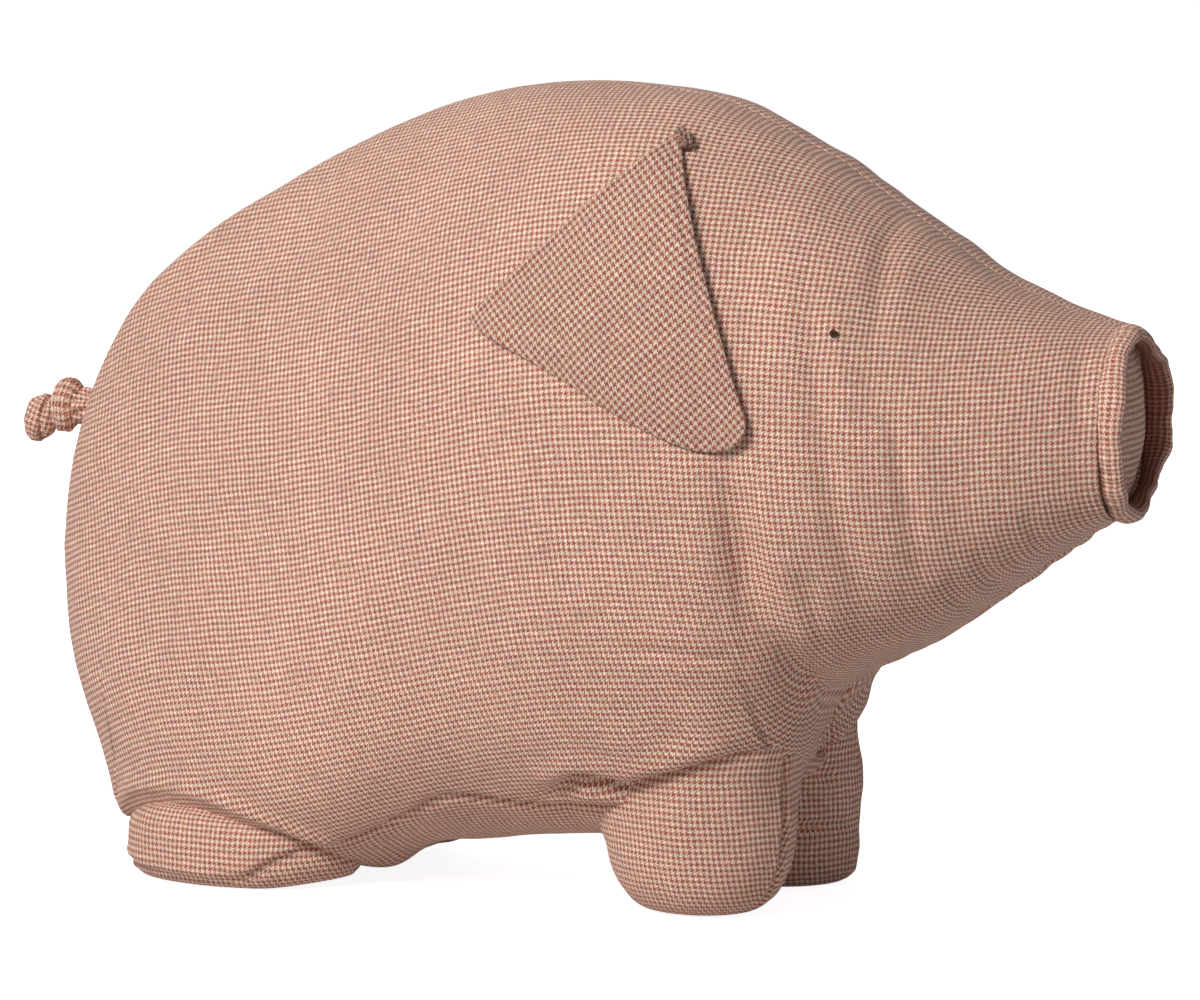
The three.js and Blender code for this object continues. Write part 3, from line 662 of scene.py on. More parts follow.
def belly_gusset():
    inside = (STATION_X > GUSSET_FROM) & (STATION_X < GUSSET_TO) & (SEAM_SHARES < WHOLE_SHARE)
    columns = np.nonzero(inside)[0]
    if len(columns) % 2 == 0:
        columns = columns[:-1]
    grid = np.empty((GUSSET_ROWS + 1, len(columns), 3))
    places = np.empty((GUSSET_ROWS + 1, len(columns), 2))
    for i, column in enumerate(columns):
        points = SECTIONS[column]
        along = lengths_along(points)
        reach = (1 - SEAM_SHARES[column]) * along[-1]
        signed = np.linspace(-reach, reach, GUSSET_ROWS + 1)
        y = np.interp(along[-1] - np.abs(signed), along, points[:, 0]) * np.sign(signed)
        z = np.interp(along[-1] - np.abs(signed), along, points[:, 1])
        grid[:, i] = joined(STATION_X[column], y, z)
        places[:, i] = joined(STATION_X[column], signed)
    normal = normals_of(grid)
    turn = -np.sign(np.sum(normal[..., 2]))
    out = normal * turn
    gaps = [distance_to_path(grid, grid[row, ::4])[0] for row in (0, -1)]
    moved = skin_lumps(grid, 71) * smooth_step(np.minimum(*gaps), 0, 12)
    for row, gap in zip((0, -1), gaps):
        moved += puckers(grid, grid[row, ::4], 75 + row, 70, 9, 0.55)
    for along, across, reach, width in GUSSET_BULGES:
        gap = np.hypot(grid[..., 0] - along, grid[..., 1] - across)
        moved += reach * bell(gap, width)
    for side in (-1, 1):
        for leg in (front_leg(side), HIND_LEG):
            moved += joint_rise(leg_distance(grid, leg, side), leg, grid[..., 0])
    moved = softened(moved) + seam_groove(gaps[0], grid[..., 0]) + seam_groove(gaps[1], grid[..., 0])
    grid = grid + moved[..., None] * out
    return sewn_shell("gusset_cloth_panel", grid, places, out, turn)


# The grid of a leg: columns round it, rows up it, and the row that a seam round the foot lies on
LEG_AROUND = 168
LEG_UP = 64
FOOT_SEAM_ROW = 16

# The share of a leg's profile that its cloth covers, up to where the trunk hides it
LEG_COVERED = 0.93

# How far the seams of a front leg are turned outwards from its front and rear
FRONT_SEAM_TURN = math.radians(12)

# The seam round a hind leg: eighths of a turn from its front end, and height
HIND_SEAM = [[0, 17], [2, 10], [4, 7], [5, 3.5], [6, 2.6], [6.3, 3.8], [6.6, 10], [7, 14.5], [8, 17]]


def leg_cover(name, leg, side, seed):
    """A leg's cloth in two parts, sewn together up its ends or, on a hind leg, round its foot."""
    profile = smooth_rows(leg["rows"]) * [leg["height"], leg["length"] / 2, leg["width"] / 2]
    along = lengths_along(profile[:, :2])
    total = LEG_COVERED * along[-1]
    angle = full_turn(LEG_AROUND + 1)
    angle = angle - 0.26 * np.sin(2 * angle)
    turned = angle
    if leg["seam"] == "foot":
        eighths = angle / (math.pi / 4) if side < 0 else 8 - angle / (math.pi / 4)
        height = np.interp(eighths, *np.array(HIND_SEAM).T)
        sewn = np.interp(height + SOLE_SINK, profile[:, 0], along)
        below = np.linspace(0, 1, FOOT_SEAM_ROW + 1)[:, None]
        above = np.linspace(0, 1, LEG_UP - FOOT_SEAM_ROW + 1)[1:, None]
        wanted = np.vstack([below * sewn, sewn + above * (total - sewn)])
    else:
        turned = angle + side * FRONT_SEAM_TURN
        wanted = np.linspace(0, total, LEG_UP + 1)[:, None] + 0 * angle
    up, long, wide = (np.interp(wanted, along, profile[:, axis]) for axis in range(3))
    x = leg["x"] + np.cos(turned) * long
    y = side * leg["y"] + np.sin(turned) * wide
    z = np.maximum(up - SOLE_SINK, 0.0)
    toe = leg["toe_lift"] * smooth_step(x - leg["x"], 12, 44) * np.clip(1 - z / (0.6 * leg["height"]), 0, 1)
    grid = joined(x, y, z + toe)
    out = normals_of(grid)
    centre = np.array([leg["x"], side * leg["y"], leg["height"] / 2])
    if np.sum(out * (grid - centre)) < 0:
        out = -out
    out[:, 0] = out[:, -1] = (out[:, 0] + out[:, -1]) / 2
    out[0] = [0, 0, -1]
    moved = 0.9 * noise(grid, 24, seed) + 0.35 * noise(grid, 9, seed + 1)
    half = LEG_AROUND // 2
    seams = [grid[FOOT_SEAM_ROW]] if leg["seam"] == "foot" else [grid[:, 0], grid[:, half]]
    sewn_in = np.zeros_like(moved)
    for number, path in enumerate(seams):
        gap, _ = distance_to_path(grid, path[::2])
        sewn_in -= 2.1 * bell(gap, 1.1) - 0.5 * bell(gap - 3.0, 1.5)
        moved += puckers(grid, path[::3], seed + 5 + number, 22, 8, 0.6)
    moved = (softened(moved, 1) + sewn_in) * smooth_step(z, 1.0, 6.0)
    for path, depth, width in leg["creases"]:
        moved += crease(grid, path, depth, width)
    from_body = body_distance(grid)
    moved += joint_rise(from_body, leg, grid[..., 0])
    moved -= 0.8 * leg["overhang"] * bell(from_body, 2.4)
    grid = grid + moved[..., None] * out
    grid[..., 2] = np.maximum(grid[..., 2], 0.0)
    steps = np.linalg.norm(np.diff(grid, axis=1), axis=-1)
    round_it = np.concatenate([np.zeros((LEG_UP + 1, 1)), np.cumsum(steps, axis=1)], axis=1)
    parts = []
    for start in (0, half):
        columns = slice(start, start + half + 1)
        across = round_it[:, columns] - round_it[:, start + half // 2][:, None]
        places = joined(across, wanted[:, columns])
        parts.append((grid[:, columns], places, -out[:, columns]))
    return shell(name, parts, LAST_ROW)


# The hinge of the left ear at its top corner and a point further down its cloth, in metres
EAR_HINGE = (0.05733, 0.0365, 0.2624)
EAR_BEND_END = (0.05553, 0.046, 0.2496)

# The right ear in a flat view, as shares of the trunk's length and height
EAR_TOP = np.array([0.79 * BODY_LENGTH, 0.947 * BODY_HEIGHT])
EAR_REAR = np.array([0.59 * BODY_LENGTH, 0.7225 * BODY_HEIGHT])
EAR_FRONT = np.array([0.915 * BODY_LENGTH, 0.608 * BODY_HEIGHT])
EAR_SLIT = np.array([195.0, 193.0])
# Its lower edge from the rear corner to the front one
EAR_LOW = [[203, 190], [223.4, 180.8], [240, 172], [256.4, 164.1], [267, 160.3], [276, 160], [282.5, 163]]
EAR_RINGS = 44
EAR_AROUND = 180
EAR_LIFT = 0.8


def spaced(path, count):
    """A count of points spaced evenly along a path."""
    along = lengths_along(path)
    wanted = np.linspace(0, along[-1], count)
    return joined(*(np.interp(wanted, along, column) for column in path.T))


def ear_outline():
    """The ear's outline from its top corner on, evenly spaced."""
    def rounded_corner(corner, before, after, reach, count=30):
        steps = [end - corner for end in (before, after)]
        a, b = (corner + step / np.linalg.norm(step) * reach for step in steps)
        t = np.linspace(0, 1, count)[:, None]
        return (1 - t) ** 2 * a + 2 * t * (1 - t) * corner + t**2 * b
    low = np.array(EAR_LOW)
    top = rounded_corner(EAR_TOP, EAR_FRONT, EAR_REAR, 3)
    rear = rounded_corner(EAR_REAR, EAR_TOP, low[0], 5)
    front = rounded_corner(EAR_FRONT, low[-1], EAR_TOP, 4)
    path = np.vstack([top, rear, smooth_rows([rear[-1], *low, front[0]], 12), front, top[:1]])
    return spaced(path, EAR_AROUND + 1)


def side_surface(flat, side):
    """Points of the smooth side at places in a flat view, with the directions that face out."""
    def half(x, z):
        return between_stations(HALF_WIDTHS, x, np.clip(z, 0, BODY_HEIGHT - 1.001))
    x, z = flat[..., 0], flat[..., 1]
    reach = 5.0
    slope_x = (half(x + reach, z) - half(x - reach, z)) / (2 * reach)
    slope_z = (half(x, z + reach) - half(x, z - reach)) / (2 * reach)
    out = joined(-slope_x, side, -slope_z)
    point = joined(x, side * half(x, z), z)
    return point, out / np.linalg.norm(out, axis=-1, keepdims=True)


def ear_layer(name, side, outer):
    """One cloth layer of an ear. It lies near the side, and its edges and free corners lift a little."""
    outline = ear_outline()
    centre = outline[:-1].mean(axis=0)
    share = 1 - (1 - np.linspace(0, 1, EAR_RINGS + 1)) ** 1.5
    flat = centre + share[:, None, None] * (outline - centre)
    point, out = side_surface(flat, side)
    edge = distance_to_path(flat, outline)[0]
    edge[-1] = 0
    from_top = np.linalg.norm(flat - EAR_TOP, axis=-1)
    from_front, _ = distance_to_path(flat, [EAR_TOP, EAR_FRONT])
    from_slit = np.linalg.norm(flat - EAR_SLIT, axis=-1)
    lift = EAR_LIFT + 2.6 * bell(from_front, 13) + 2.4 * bell(from_slit, 7)
    across = joined(flat[..., 0], 0, flat[..., 1])
    from_low, _ = distance_to_path(flat, EAR_LOW[:5])
    lift -= 0.85 * bell(from_low, 9) * (1 - bell(from_slit, 12))
    lift += 0.22 * noise(across, 26, 300 + side) + 0.06 * noise(across, 8, 310 + side)
    lift = 0.5 + (lift - 0.5) * smooth_step(from_top, 0, 30)
    base = side_moves(point, side)
    plump = 1 - np.exp(-edge / 1.3)
    if outer:
        height = base + lift + CLOTH_THICKNESS + 0.06 + CLOTH_THICKNESS * plump
        height -= 0.45 * bell(edge - 2.6, 0.7)
    else:
        height = base + lift + CLOTH_THICKNESS
    grid = point + height[..., None] * out
    along = (EAR_REAR - EAR_TOP) / np.linalg.norm(EAR_REAR - EAR_TOP)
    places = (flat - centre) @ np.array([along, (-along[1], along[0])]).T
    return shell(name, [(grid, places, -out)], LAST_ROW)


def tube(path, radius, around, gather):
    """Rings of points round a path, gathered by a function of place and angle, and their cloth places."""
    along = lengths_along(path)
    ahead = np.gradient(path, axis=0)
    ahead /= np.linalg.norm(ahead, axis=1)[:, None]
    side = np.cross(ahead[0], [0.3, 0.2, 1.0])
    angle = full_turn(around + 1)
    grid, places = [], []
    for i, centre in enumerate(path):
        side = side - ahead[i] * np.dot(side, ahead[i])
        side /= np.linalg.norm(side)
        up = np.cross(ahead[i], side)
        reach = radius[i] + gather(along[i], angle) * min(1, radius[i] / radius.max() * 1.4)
        grid.append(centre + reach[:, None] * (np.cos(angle)[:, None] * side + np.sin(angle)[:, None] * up))
        places.append(joined(1.25 * angle * radius.max(), 1.15 * along[i]))
    return np.array(grid), np.array(places)


def rounded(count, radius, length):
    """Radii along a tube of a length whose ends are rounded."""
    along = np.linspace(0, length, count)
    from_end = np.clip(np.minimum(along, length - along) / radius, 0, 1)
    return radius * np.sqrt(1 - (1 - from_end) ** 2)


def along_path(table, count):
    """Points spaced evenly along the smooth curve through a table's places, and its length."""
    path = smooth_rows(table, 20)
    return spaced(path, count), lengths_along(path)[-1]


# The tail's height, and the path of its knot from the body outwards
TAIL_Z = 0.57 * BODY_HEIGHT
STUB_PATH = [[13, 0, TAIL_Z + 0.5], [8, 0, TAIL_Z], [3, 0, TAIL_Z], [-2, 0, TAIL_Z - 0.5]]
KNOT_PATH = [
    [2.6, 0.0, 156.0], [-0.2, 3.2, 156.0], [-0.6, 2.8, 160.2], [0.0, -1.2, 161.8], [-0.2, -4.4, 157.6],
    [-0.8, -2.4, 152.4], [-3.2, 1.4, 152.0], [-6.4, 1.2, 154.0], [-9.4, 0.0, 154.2],
]
KNOT_END = np.array([-10.9, -0.6, 151.9])
KNOT_END_SIZE = [5.9, 6.2, 8.9]
KNOT_END_LEAN = 0.3


def tail_stub(name):
    path, length = along_path(STUB_PATH, 60)
    radius = rounded(60, 5.9, length)
    def gather(along, angle):
        return 0.7 * np.sin(9 * angle + 0.8 * math.sin(along)) + 0.3 * np.sin(4 * angle + 1.0)
    return closed_object(name, [tube(path, radius, 120, gather)])


def knot_end():
    """The knot's end as a grid of points, with the round ball that it comes from and its cloth places."""
    fall, angle = np.linspace(0, math.pi, 90)[:, None], full_turn(120)
    ball = joined(np.sin(fall) * np.cos(angle), np.sin(fall) * np.sin(angle), np.cos(fall))
    x, y, z = np.moveaxis(ball * KNOT_END_SIZE, -1, 0)
    sin_lean, cos_lean = math.sin(KNOT_END_LEAN), math.cos(KNOT_END_LEAN)
    turned = joined(x * cos_lean + z * sin_lean, y, z * cos_lean - x * sin_lean)
    places = joined(angle * KNOT_END_SIZE[0], -fall * KNOT_END_SIZE[2])
    return KNOT_END + turned, ball, places


def tail_knot(name):
    """The knot: a turn of the gathered tube, and its folded end that hangs out of it."""
    count = 200
    path, length = along_path(KNOT_PATH, count)
    radius = rounded(count, 4.7, length)
    def gather(place, angle):
        ring = joined(2.2 * np.cos(angle), 2.2 * np.sin(angle), place * 0.42)
        tight = bell(place - 0.8 * length, 4.0) + bell(place, 6.0)
        folds = 0.4 * np.sin(7 * angle + 0.35 * place) * tight
        return folds + 0.5 * noise(ring, 1.1, 41) + 0.25 * noise(ring * 2.3, 1.0, 42)
    grid, ball, places = knot_end()
    fold = bell(ball[..., 0] - 0.42 + 0.2 * ball[..., 2], 0.13)
    fold *= smooth_step(-ball[..., 1], -0.3, 0.4)
    bumps = 0.7 * noise(ball * 2.0, 1.3, 43) + 0.3 * noise(ball * 5.0, 1.2, 44) - 1.5 * fold
    grid = grid + bumps[..., None] * ball
    grid[0], grid[-1] = grid[0].mean(axis=0), grid[-1].mean(axis=0)
    return closed_object(name, [tube(path, radius, 96, gather), (grid, places)])


# The nose: half width, half height and middle height of the snout's end
SNOUT_TOP, SNOUT_BOTTOM, SNOUT_WIDTH = HEAD_ROWS[-1][1:4]
NOSE_HALF_WIDTH = SNOUT_WIDTH * HEAD_WIDTH / 2
NOSE_HALF_HEIGHT = (SNOUT_TOP - SNOUT_BOTTOM) * HEAD_HEIGHT / 2
NOSE_Z = HEAD_FLOOR + (SNOUT_TOP + SNOUT_BOTTOM) / 2 * HEAD_HEIGHT
NOSE_FULL = 0.92


def nose_ring(out, x, angle):
    y = power(np.cos(angle), NOSE_FULL) * (NOSE_HALF_WIDTH + out)
    z = NOSE_Z + power(np.sin(angle), NOSE_FULL) * (NOSE_HALF_HEIGHT + out)
    return joined(x, y, z)


def nose_disc(name):
    angle = full_turn(121)
    edge = nose_ring(-1.4, SNOUT_X, angle)
    centre = np.array([SNOUT_X, 0, NOSE_Z])
    def ring(share, x):
        points = centre + (edge - centre) * share
        points[:, 0] = x
        return points
    shares = np.linspace(0, 1, 31)
    front = [ring(share, SNOUT_X - 2.6 + 6.6 * (1 - share**2.4)) for share in shares]
    rounded_edge = [ring(1 - 0.02 * k, SNOUT_X - 2.6 - 0.7 * k) for k in (1, 2, 3)]
    back = [ring(share, SNOUT_X - 5.0) for share in (0.9, 0.5, 0.0)]
    grid = np.array(front + rounded_edge + back)
    bump = 0.5 * noise(grid, 14, 61) + 0.12 * noise(grid, 5, 62)
    moved = bump[: len(front)] * smooth_step(1 - shares, 0, 0.25)[:, None]
    grid[: len(front), :, 0] += moved
    places = grid[..., 1:]
    return closed_object(name, [(grid, places)])


RIM_AROUND = 420
RIM_POINTS = 44
RIM_THICKNESS = 5.6
RIM_REACH = 9.4


def snout_rim(name):
    """The rolled seam round the nose, puckered across by its stitches and a little wavy."""
    angle = full_turn(RIM_AROUND + 1)
    turn = full_turn(RIM_POINTS + 1)
    circle = joined(np.cos(angle) * 9.0, np.sin(angle) * 9.0, 0)
    wave = 1.2 * noise(circle, 4.2, 51) + 0.7 * noise(circle, 2.0, 52)
    plump = 0.8 * noise(circle * 1.7, 2.6, 53)
    grid, places = [], []
    length = 2 * math.pi * (NOSE_HALF_WIDTH + NOSE_HALF_HEIGHT) / 2
    for i, a in enumerate(angle):
        pinch = 0.22 * math.sin(58 * a + 3 * wave[i]) + 0.16 * math.sin(37 * a)
        inside = 0.5 - 0.5 * np.cos(turn - 2.6)
        half = RIM_THICKNESS / 2 + 0.6 * plump[i] + pinch * inside
        reach = RIM_REACH / 2 + 0.5 * plump[i] + 0.4 * wave[i]
        lip = 0.5 + 0.5 * np.sin(turn)
        leaning = 7.0 * bell(a - 1.15, 0.5) + 6.8 * bell(a - 5.25, 0.55)
        out = half * np.cos(turn) - 1.2 + 0.55 * np.sin(turn) - leaning * lip
        x = SNOUT_X - 1.2 + RIM_REACH / 2 + 0.75 * wave[i] * lip + reach * np.sin(turn)
        ring = nose_ring(out, 0.0, np.full_like(turn, a))
        ring[:, 0] = x
        grid.append(ring)
        places.append(joined(turn * 4.0, 1.4 * a / (2 * math.pi) * length))
    return closed_object(name, [(np.array(grid), np.array(places))])


# The places of an eye, as along and height
EYE_PLACE = np.array([HEAD_START + 0.523 * HEAD_LENGTH, HEAD_FLOOR + 0.678 * HEAD_HEIGHT])


def frame_at(flat, side):
    """A point of the moved skin with directions along it, up it and out of it."""
    point, out = side_surface(np.array([flat]), side)
    point = point + side_moves(point, side)[:, None] * out
    along = np.cross(np.cross(out[0], [1, 0, 0]), out[0])
    along /= np.linalg.norm(along)
    return point[0], along, np.cross(along, out[0]) * side, out[0]


def eye_knot(name, side):
    """A French knot: thread wound twice round and drawn down through its middle."""
    seat, along, up, out = frame_at(EYE_PLACE, side)
    turn = np.linspace(0, 5.2 * math.pi, 150)
    share = turn / turn[-1]
    reach = 0.95 - 0.75 * smooth_step(share, 0.72, 1.0)
    height = 0.25 + 0.85 * share - 0.35 * smooth_step(share, 0.85, 1.0)
    path = seat + (reach * np.cos(turn))[:, None] * along + (0.88 * reach * np.sin(turn))[:, None] * up
    path = path + height[:, None] * out
    radius = rounded(150, 0.43, lengths_along(path)[-1])
    def twist(place, angle):
        return 0.05 * np.sin(3 * angle + 5 * place)
    return closed_object(name, [tube(path, radius, 12, twist)])


def ear_root(name, side):
    """The pleat that holds an ear's top corner: a small gathered fold of cloth."""
    seat, along, up, out = frame_at(EAR_TOP + [0.5, -0.5], side)
    start = seat - along * 1.6 + out * 0.8 - up * 0.2
    middle = seat + along * 1.2 + out * 1.7 - up * 4.0
    end = seat + along * 3.6 + out * 0.9 - up * 8.6
    path, length = along_path([start, middle, end], 70)
    radius = rounded(70, 2.2, length)
    def folds(place, angle):
        return 0.5 * np.sin(5 * angle + 0.7 * place) + 0.25 * np.sin(11 * angle - place)
    return closed_object(name, [tube(path, radius, 90, folds)])


# Stuffing: how far its rings stay inside the cloth, and what they then keep of its height and width
STUFFING_DEPTH = 7.0
KEPT_HEIGHT = 0.8
KEPT_WIDTH = 0.6


def stuffing(name, form, start, end, count=26):
    """A closed inner form of a trunk or head, well inside its cloth."""
    angle = full_turn(41)
    rings = []
    for x in np.linspace(start, end, count):
        top, bottom, half = form.at(x)[:3]
        tall = max((top - bottom) / 2 - STUFFING_DEPTH, 0) * KEPT_HEIGHT
        wide = max(half - STUFFING_DEPTH, 0) * KEPT_WIDTH
        if x in (start, end):
            tall = wide = 0
        centre = bottom + 0.44 * (top - bottom)
        rings.append(joined(x, np.cos(angle) * wide, centre + np.sin(angle) * tall))
    grid = np.array(rings)
    grid[1:-1, :, 1] += 0.8 * noise(grid[1:-1], 14, 81) * np.abs(np.cos(angle))
    grid[:, -1] = grid[:, 0]
    places = joined(grid[..., 0], angle * 40)
    return closed_object(name, [(grid, places)])


def leg_stuffing(name, leg, side):
    low, high = 5, 0.8 * leg["height"]
    angle = full_turn(33)
    rings = []
    rows = smooth_rows(leg["rows"], 6) * [leg["height"], leg["length"] / 2, leg["width"] / 2]
    for up in np.linspace(low, high, 14):
        long, wide = (np.interp(up, rows[:, 0], rows[:, axis]) for axis in (1, 2))
        shrink = 0 if up in (low, high) else 1
        reach_x, reach_y = (shrink * max(size - 6, 1) for size in (long, wide))
        x = leg["x"] + np.cos(angle) * reach_x
        y = side * leg["y"] + np.sin(angle) * reach_y
        rings.append(joined(x, y, up))
    grid = np.array(rings)
    places = joined(angle * 20, grid[..., 2])
    return closed_object(name, [(grid, places)])


# Camera
PICTURE_WIDTH, PICTURE_HEIGHT = 1200, 1000
SENSOR_WIDTH = 36
CAMERA_AZIMUTH = math.radians(22)
CAMERA_ELEVATION = math.radians(7)
CAMERA_DISTANCE = 2.0
MILLIMETRES_PER_PIXEL = 0.345
ORIGIN_PIXEL = (566, 878)


def add_camera():
    sin_a, cos_a = math.sin(CAMERA_AZIMUTH), math.cos(CAMERA_AZIMUTH)
    sin_e, cos_e = math.sin(CAMERA_ELEVATION), math.cos(CAMERA_ELEVATION)
    right = Vector((cos_a, sin_a, 0))
    toward = Vector((sin_a * cos_e, -cos_a * cos_e, sin_e))
    up = toward.cross(right)
    pixel = MILLIMETRES_PER_PIXEL * METRE
    middle = right * ((PICTURE_WIDTH / 2 - ORIGIN_PIXEL[0]) * pixel)
    middle += up * ((ORIGIN_PIXEL[1] - PICTURE_HEIGHT / 2) * pixel)
    data = bpy.data.cameras.new("camera")
    data.sensor_width = SENSOR_WIDTH
    data.lens = SENSOR_WIDTH * CAMERA_DISTANCE / (PICTURE_WIDTH * pixel)
    data.clip_end = 50
    camera = bpy.data.objects.new("camera", data)
    turn = Matrix((right, up, toward)).transposed()
    camera.matrix_world = Matrix.Translation(middle + toward * CAMERA_DISTANCE) @ turn.to_4x4()
    bpy.context.scene.collection.objects.link(camera)
    bpy.context.scene.camera = camera
    return right, up, toward


class Tree:
    """A material's node tree, built a node at a time."""

    def __init__(self, name):
        self.material = bpy.data.materials.new(name)
        self.material.use_nodes = True
        self.nodes = self.material.node_tree.nodes
        self.links = self.material.node_tree.links
        self.shader = self.nodes["Principled BSDF"]

    def put(self, socket, value):
        if isinstance(value, bpy.types.NodeSocket):
            self.links.new(value, socket)
        elif isinstance(value, (tuple, list)) and len(value) == 3 and len(socket.default_value) == 4:
            socket.default_value = (*value, 1)
        else:
            socket.default_value = value

    def add(self, kind, output=0, inputs=None, **settings):
        node = self.nodes.new("ShaderNode" + kind)
        for name, value in settings.items():
            setattr(node, name, value)
        for name, value in (inputs or {}).items():
            self.put(node.inputs[name], value)
        return node.outputs[output]

    def math(self, operation, *values):
        return self.add("Math", inputs=dict(enumerate(values)), operation=operation)

    def mix(self, share, a, b, blend="MIX"):
        inputs = {0: share, 6: a, 7: b}
        return self.add("Mix", 2, inputs, data_type="RGBA", blend_type=blend)

    def noise(self, place, scale, detail=2.0, output=0):
        return self.add("TexNoise", output, {"Vector": place, "Scale": scale, "Detail": detail})

    def vector(self, operation, *values, **named):
        inputs = {**dict(enumerate(values)), **named}
        return self.add("VectorMath", inputs=inputs, operation=operation)

    def remap(self, value, low, high, to_low, to_high):
        """A value that runs between two limits, carried to run between two others."""
        return self.add("MapRange", inputs=dict(enumerate((value, low, high, to_low, to_high))))

    def shade(self, **values):
        """Puts values into the shader's sockets, with spaces for the underscores in their names."""
        for name, value in values.items():
            self.put(self.shader.inputs[name.replace("_", " ")], value)


# The woven check: the repeat of its pattern across and up in metres, with eight threads each way
REPEAT_ACROSS = 0.0019
REPEAT_UP = 0.00214
THREADS = 8
DARK_THREAD = (0.395, 0.1, 0.078)
RUSTY_THREAD = (0.44, 0.142, 0.066)
LIGHT_THREAD = (0.83, 0.65, 0.53)
CREAM_THREAD = (0.89, 0.79, 0.65)
# How much of its red, green and blue the cloth loses where shade is painted into it
PAINTED_SHADE_SHARES = (0.5, 0.66, 0.7)


def houndstooth(name, painted_shade_share=1.0, painted_shade_span=None):
    """Cloth of four dark and four light threads in turn, over two and under two.

    It can have shade painted into its colour, and so be darker, between two places across the cloth in
    metres.
    """
    tree = Tree(name)
    m, remap = tree.math, tree.remap
    place = tree.add("TexCoord", 3)
    drift = tree.vector("SUBTRACT", tree.noise(place, 70.0, 3.0, output=1), (0.5, 0.5, 0.5))
    uv = tree.vector("ADD", tree.add("UVMap", uv_map="Cloth"), tree.vector("SCALE", drift, Scale=0.0013))
    x, y = (tree.add("SeparateXYZ", axis, {0: uv}) for axis in (0, 1))
    u, v = m("DIVIDE", x, REPEAT_ACROSS / THREADS), m("DIVIDE", y, REPEAT_UP / THREADS)
    i, j = m("FLOOR", u), m("FLOOR", v)
    warp_over = m("LESS_THAN", m("FLOORED_MODULO", m("SUBTRACT", i, j), THREADS / 2), THREADS / 4)
    weft_over = m("SUBTRACT", 1.0, warp_over)

    def by_thread(warp, weft):
        return m("ADD", m("MULTIPLY", warp_over, warp), m("MULTIPLY", weft_over, weft))

    def thread_tone(*code):
        return tree.noise(tree.add("CombineXYZ", inputs=dict(enumerate(code))), 1.0, 1.0)

    is_dark = by_thread(*(m("LESS_THAN", m("FLOORED_MODULO", n, THREADS), THREADS / 2) for n in (i, j)))
    # Each thread has its own tone, which drifts along its length
    tone = by_thread(
        thread_tone(m("MULTIPLY", i, 0.37), m("MULTIPLY", v, 0.02), 3.0),
        thread_tone(m("MULTIPLY", u, 0.02), m("MULTIPLY", j, 0.37), 11.0))
    dark = tree.mix(remap(tree.noise(place, 420.0), 0.42, 0.62, 0.0, 1.0), DARK_THREAD, RUSTY_THREAD)
    light = tree.mix(remap(tone, 0.58, 0.74, 0.0, 0.7), LIGHT_THREAD, CREAM_THREAD)
    colour = tree.mix(is_dark, light, dark)
    # Random patches of tone, times a share that paints shade into the colour of some pieces
    patches_and_painted_shade = remap(tree.noise(place, 22.0, 3.0), 0.3, 0.7, 0.95 * painted_shade_share, 1.04 * painted_shade_share)
    grain = remap(tree.noise(place, 1500.0, 1.0), 0.3, 0.7, 0.74, 1.26)
    shade = m("MULTIPLY", m("MULTIPLY", remap(tone, 0.3, 0.7, 0.88, 1.12), patches_and_painted_shade), grain)
    shades = [shade] * 3
    # Painted shade: between the two places the colour is darkened, green and blue more than red
    if painted_shade_span is not None:
        low, high = painted_shade_span
        into, out_of = remap(x, low, low + 0.002, 0.0, 1.0), remap(x, high - 0.002, high, 1.0, 0.0)
        painted_shade = m("MULTIPLY", into, out_of)
        kept = (m("SUBTRACT", 1.0, m("MULTIPLY", share, painted_shade)) for share in PAINTED_SHADE_SHARES)
        shades = [m("MULTIPLY", shade, part) for part in kept]
    shade_colour = tree.add("CombineColor", inputs=dict(enumerate(shades)))
    # Round threads, with a little fluff between them
    ridges = (m("COSINE", m("MULTIPLY", m("SUBTRACT", m("FRACT", n), 0.5), math.pi)) for n in (u, v))
    fluff = tree.noise(place, 3000.0)
    height = m("ADD", by_thread(*ridges), m("MULTIPLY", fluff, 0.8))
    bump = tree.add("Bump", inputs={"Strength": 0.5, "Distance": 0.00009, "Height": height})
    tree.shade(
        Base_Color=tree.mix(1.0, colour, shade_colour, "MULTIPLY"), Normal=bump,
        Roughness=remap(fluff, 0.3, 0.7, 0.82, 0.95), Specular_IOR_Level=0.2, Sheen_Weight=0.08,
        Sheen_Roughness=0.5)
    return tree.material


def add_light(name, place, size, energy, colour=(1, 1, 1), aim=(0, 0, 0.13)):
    data = bpy.data.lights.new(name, "AREA")
    data.shape = "DISK"
    data.size = size
    data.energy = energy
    data.color = colour
    lamp = bpy.data.objects.new(name, data)
    lamp.location = place
    lamp.rotation_euler = (Vector(place) - Vector(aim)).to_track_quat("Z", "Y").to_euler()
    bpy.context.scene.collection.objects.link(lamp)


def stage_material(name, level):
    tree = Tree(name)
    rays = ("Is Camera Ray", "Is Glossy Ray", "Is Transmission Ray")
    camera, glossy, through = (tree.add("LightPath", ray) for ray in rays)
    seen = tree.math("MAXIMUM", tree.math("MAXIMUM", camera, glossy), through)
    glow = tree.math("MULTIPLY", seen, level)
    tree.shade(
        Base_Color=(0.66, 0.66, 0.66), Roughness=0.9, Emission_Color=(1, 1, 1), Emission_Strength=glow)
    return tree.material


# The stage in metres: its reach to the front and back, its rounding, top, half width, and how far
# it lies below the soles
STAGE_FRONT, STAGE_BACK, STAGE_ROUND, STAGE_TOP, STAGE_HALF_WIDTH = 9.0, 8.0, 1.5, 7.0, 11.0
STAGE_DROP = 0.0004


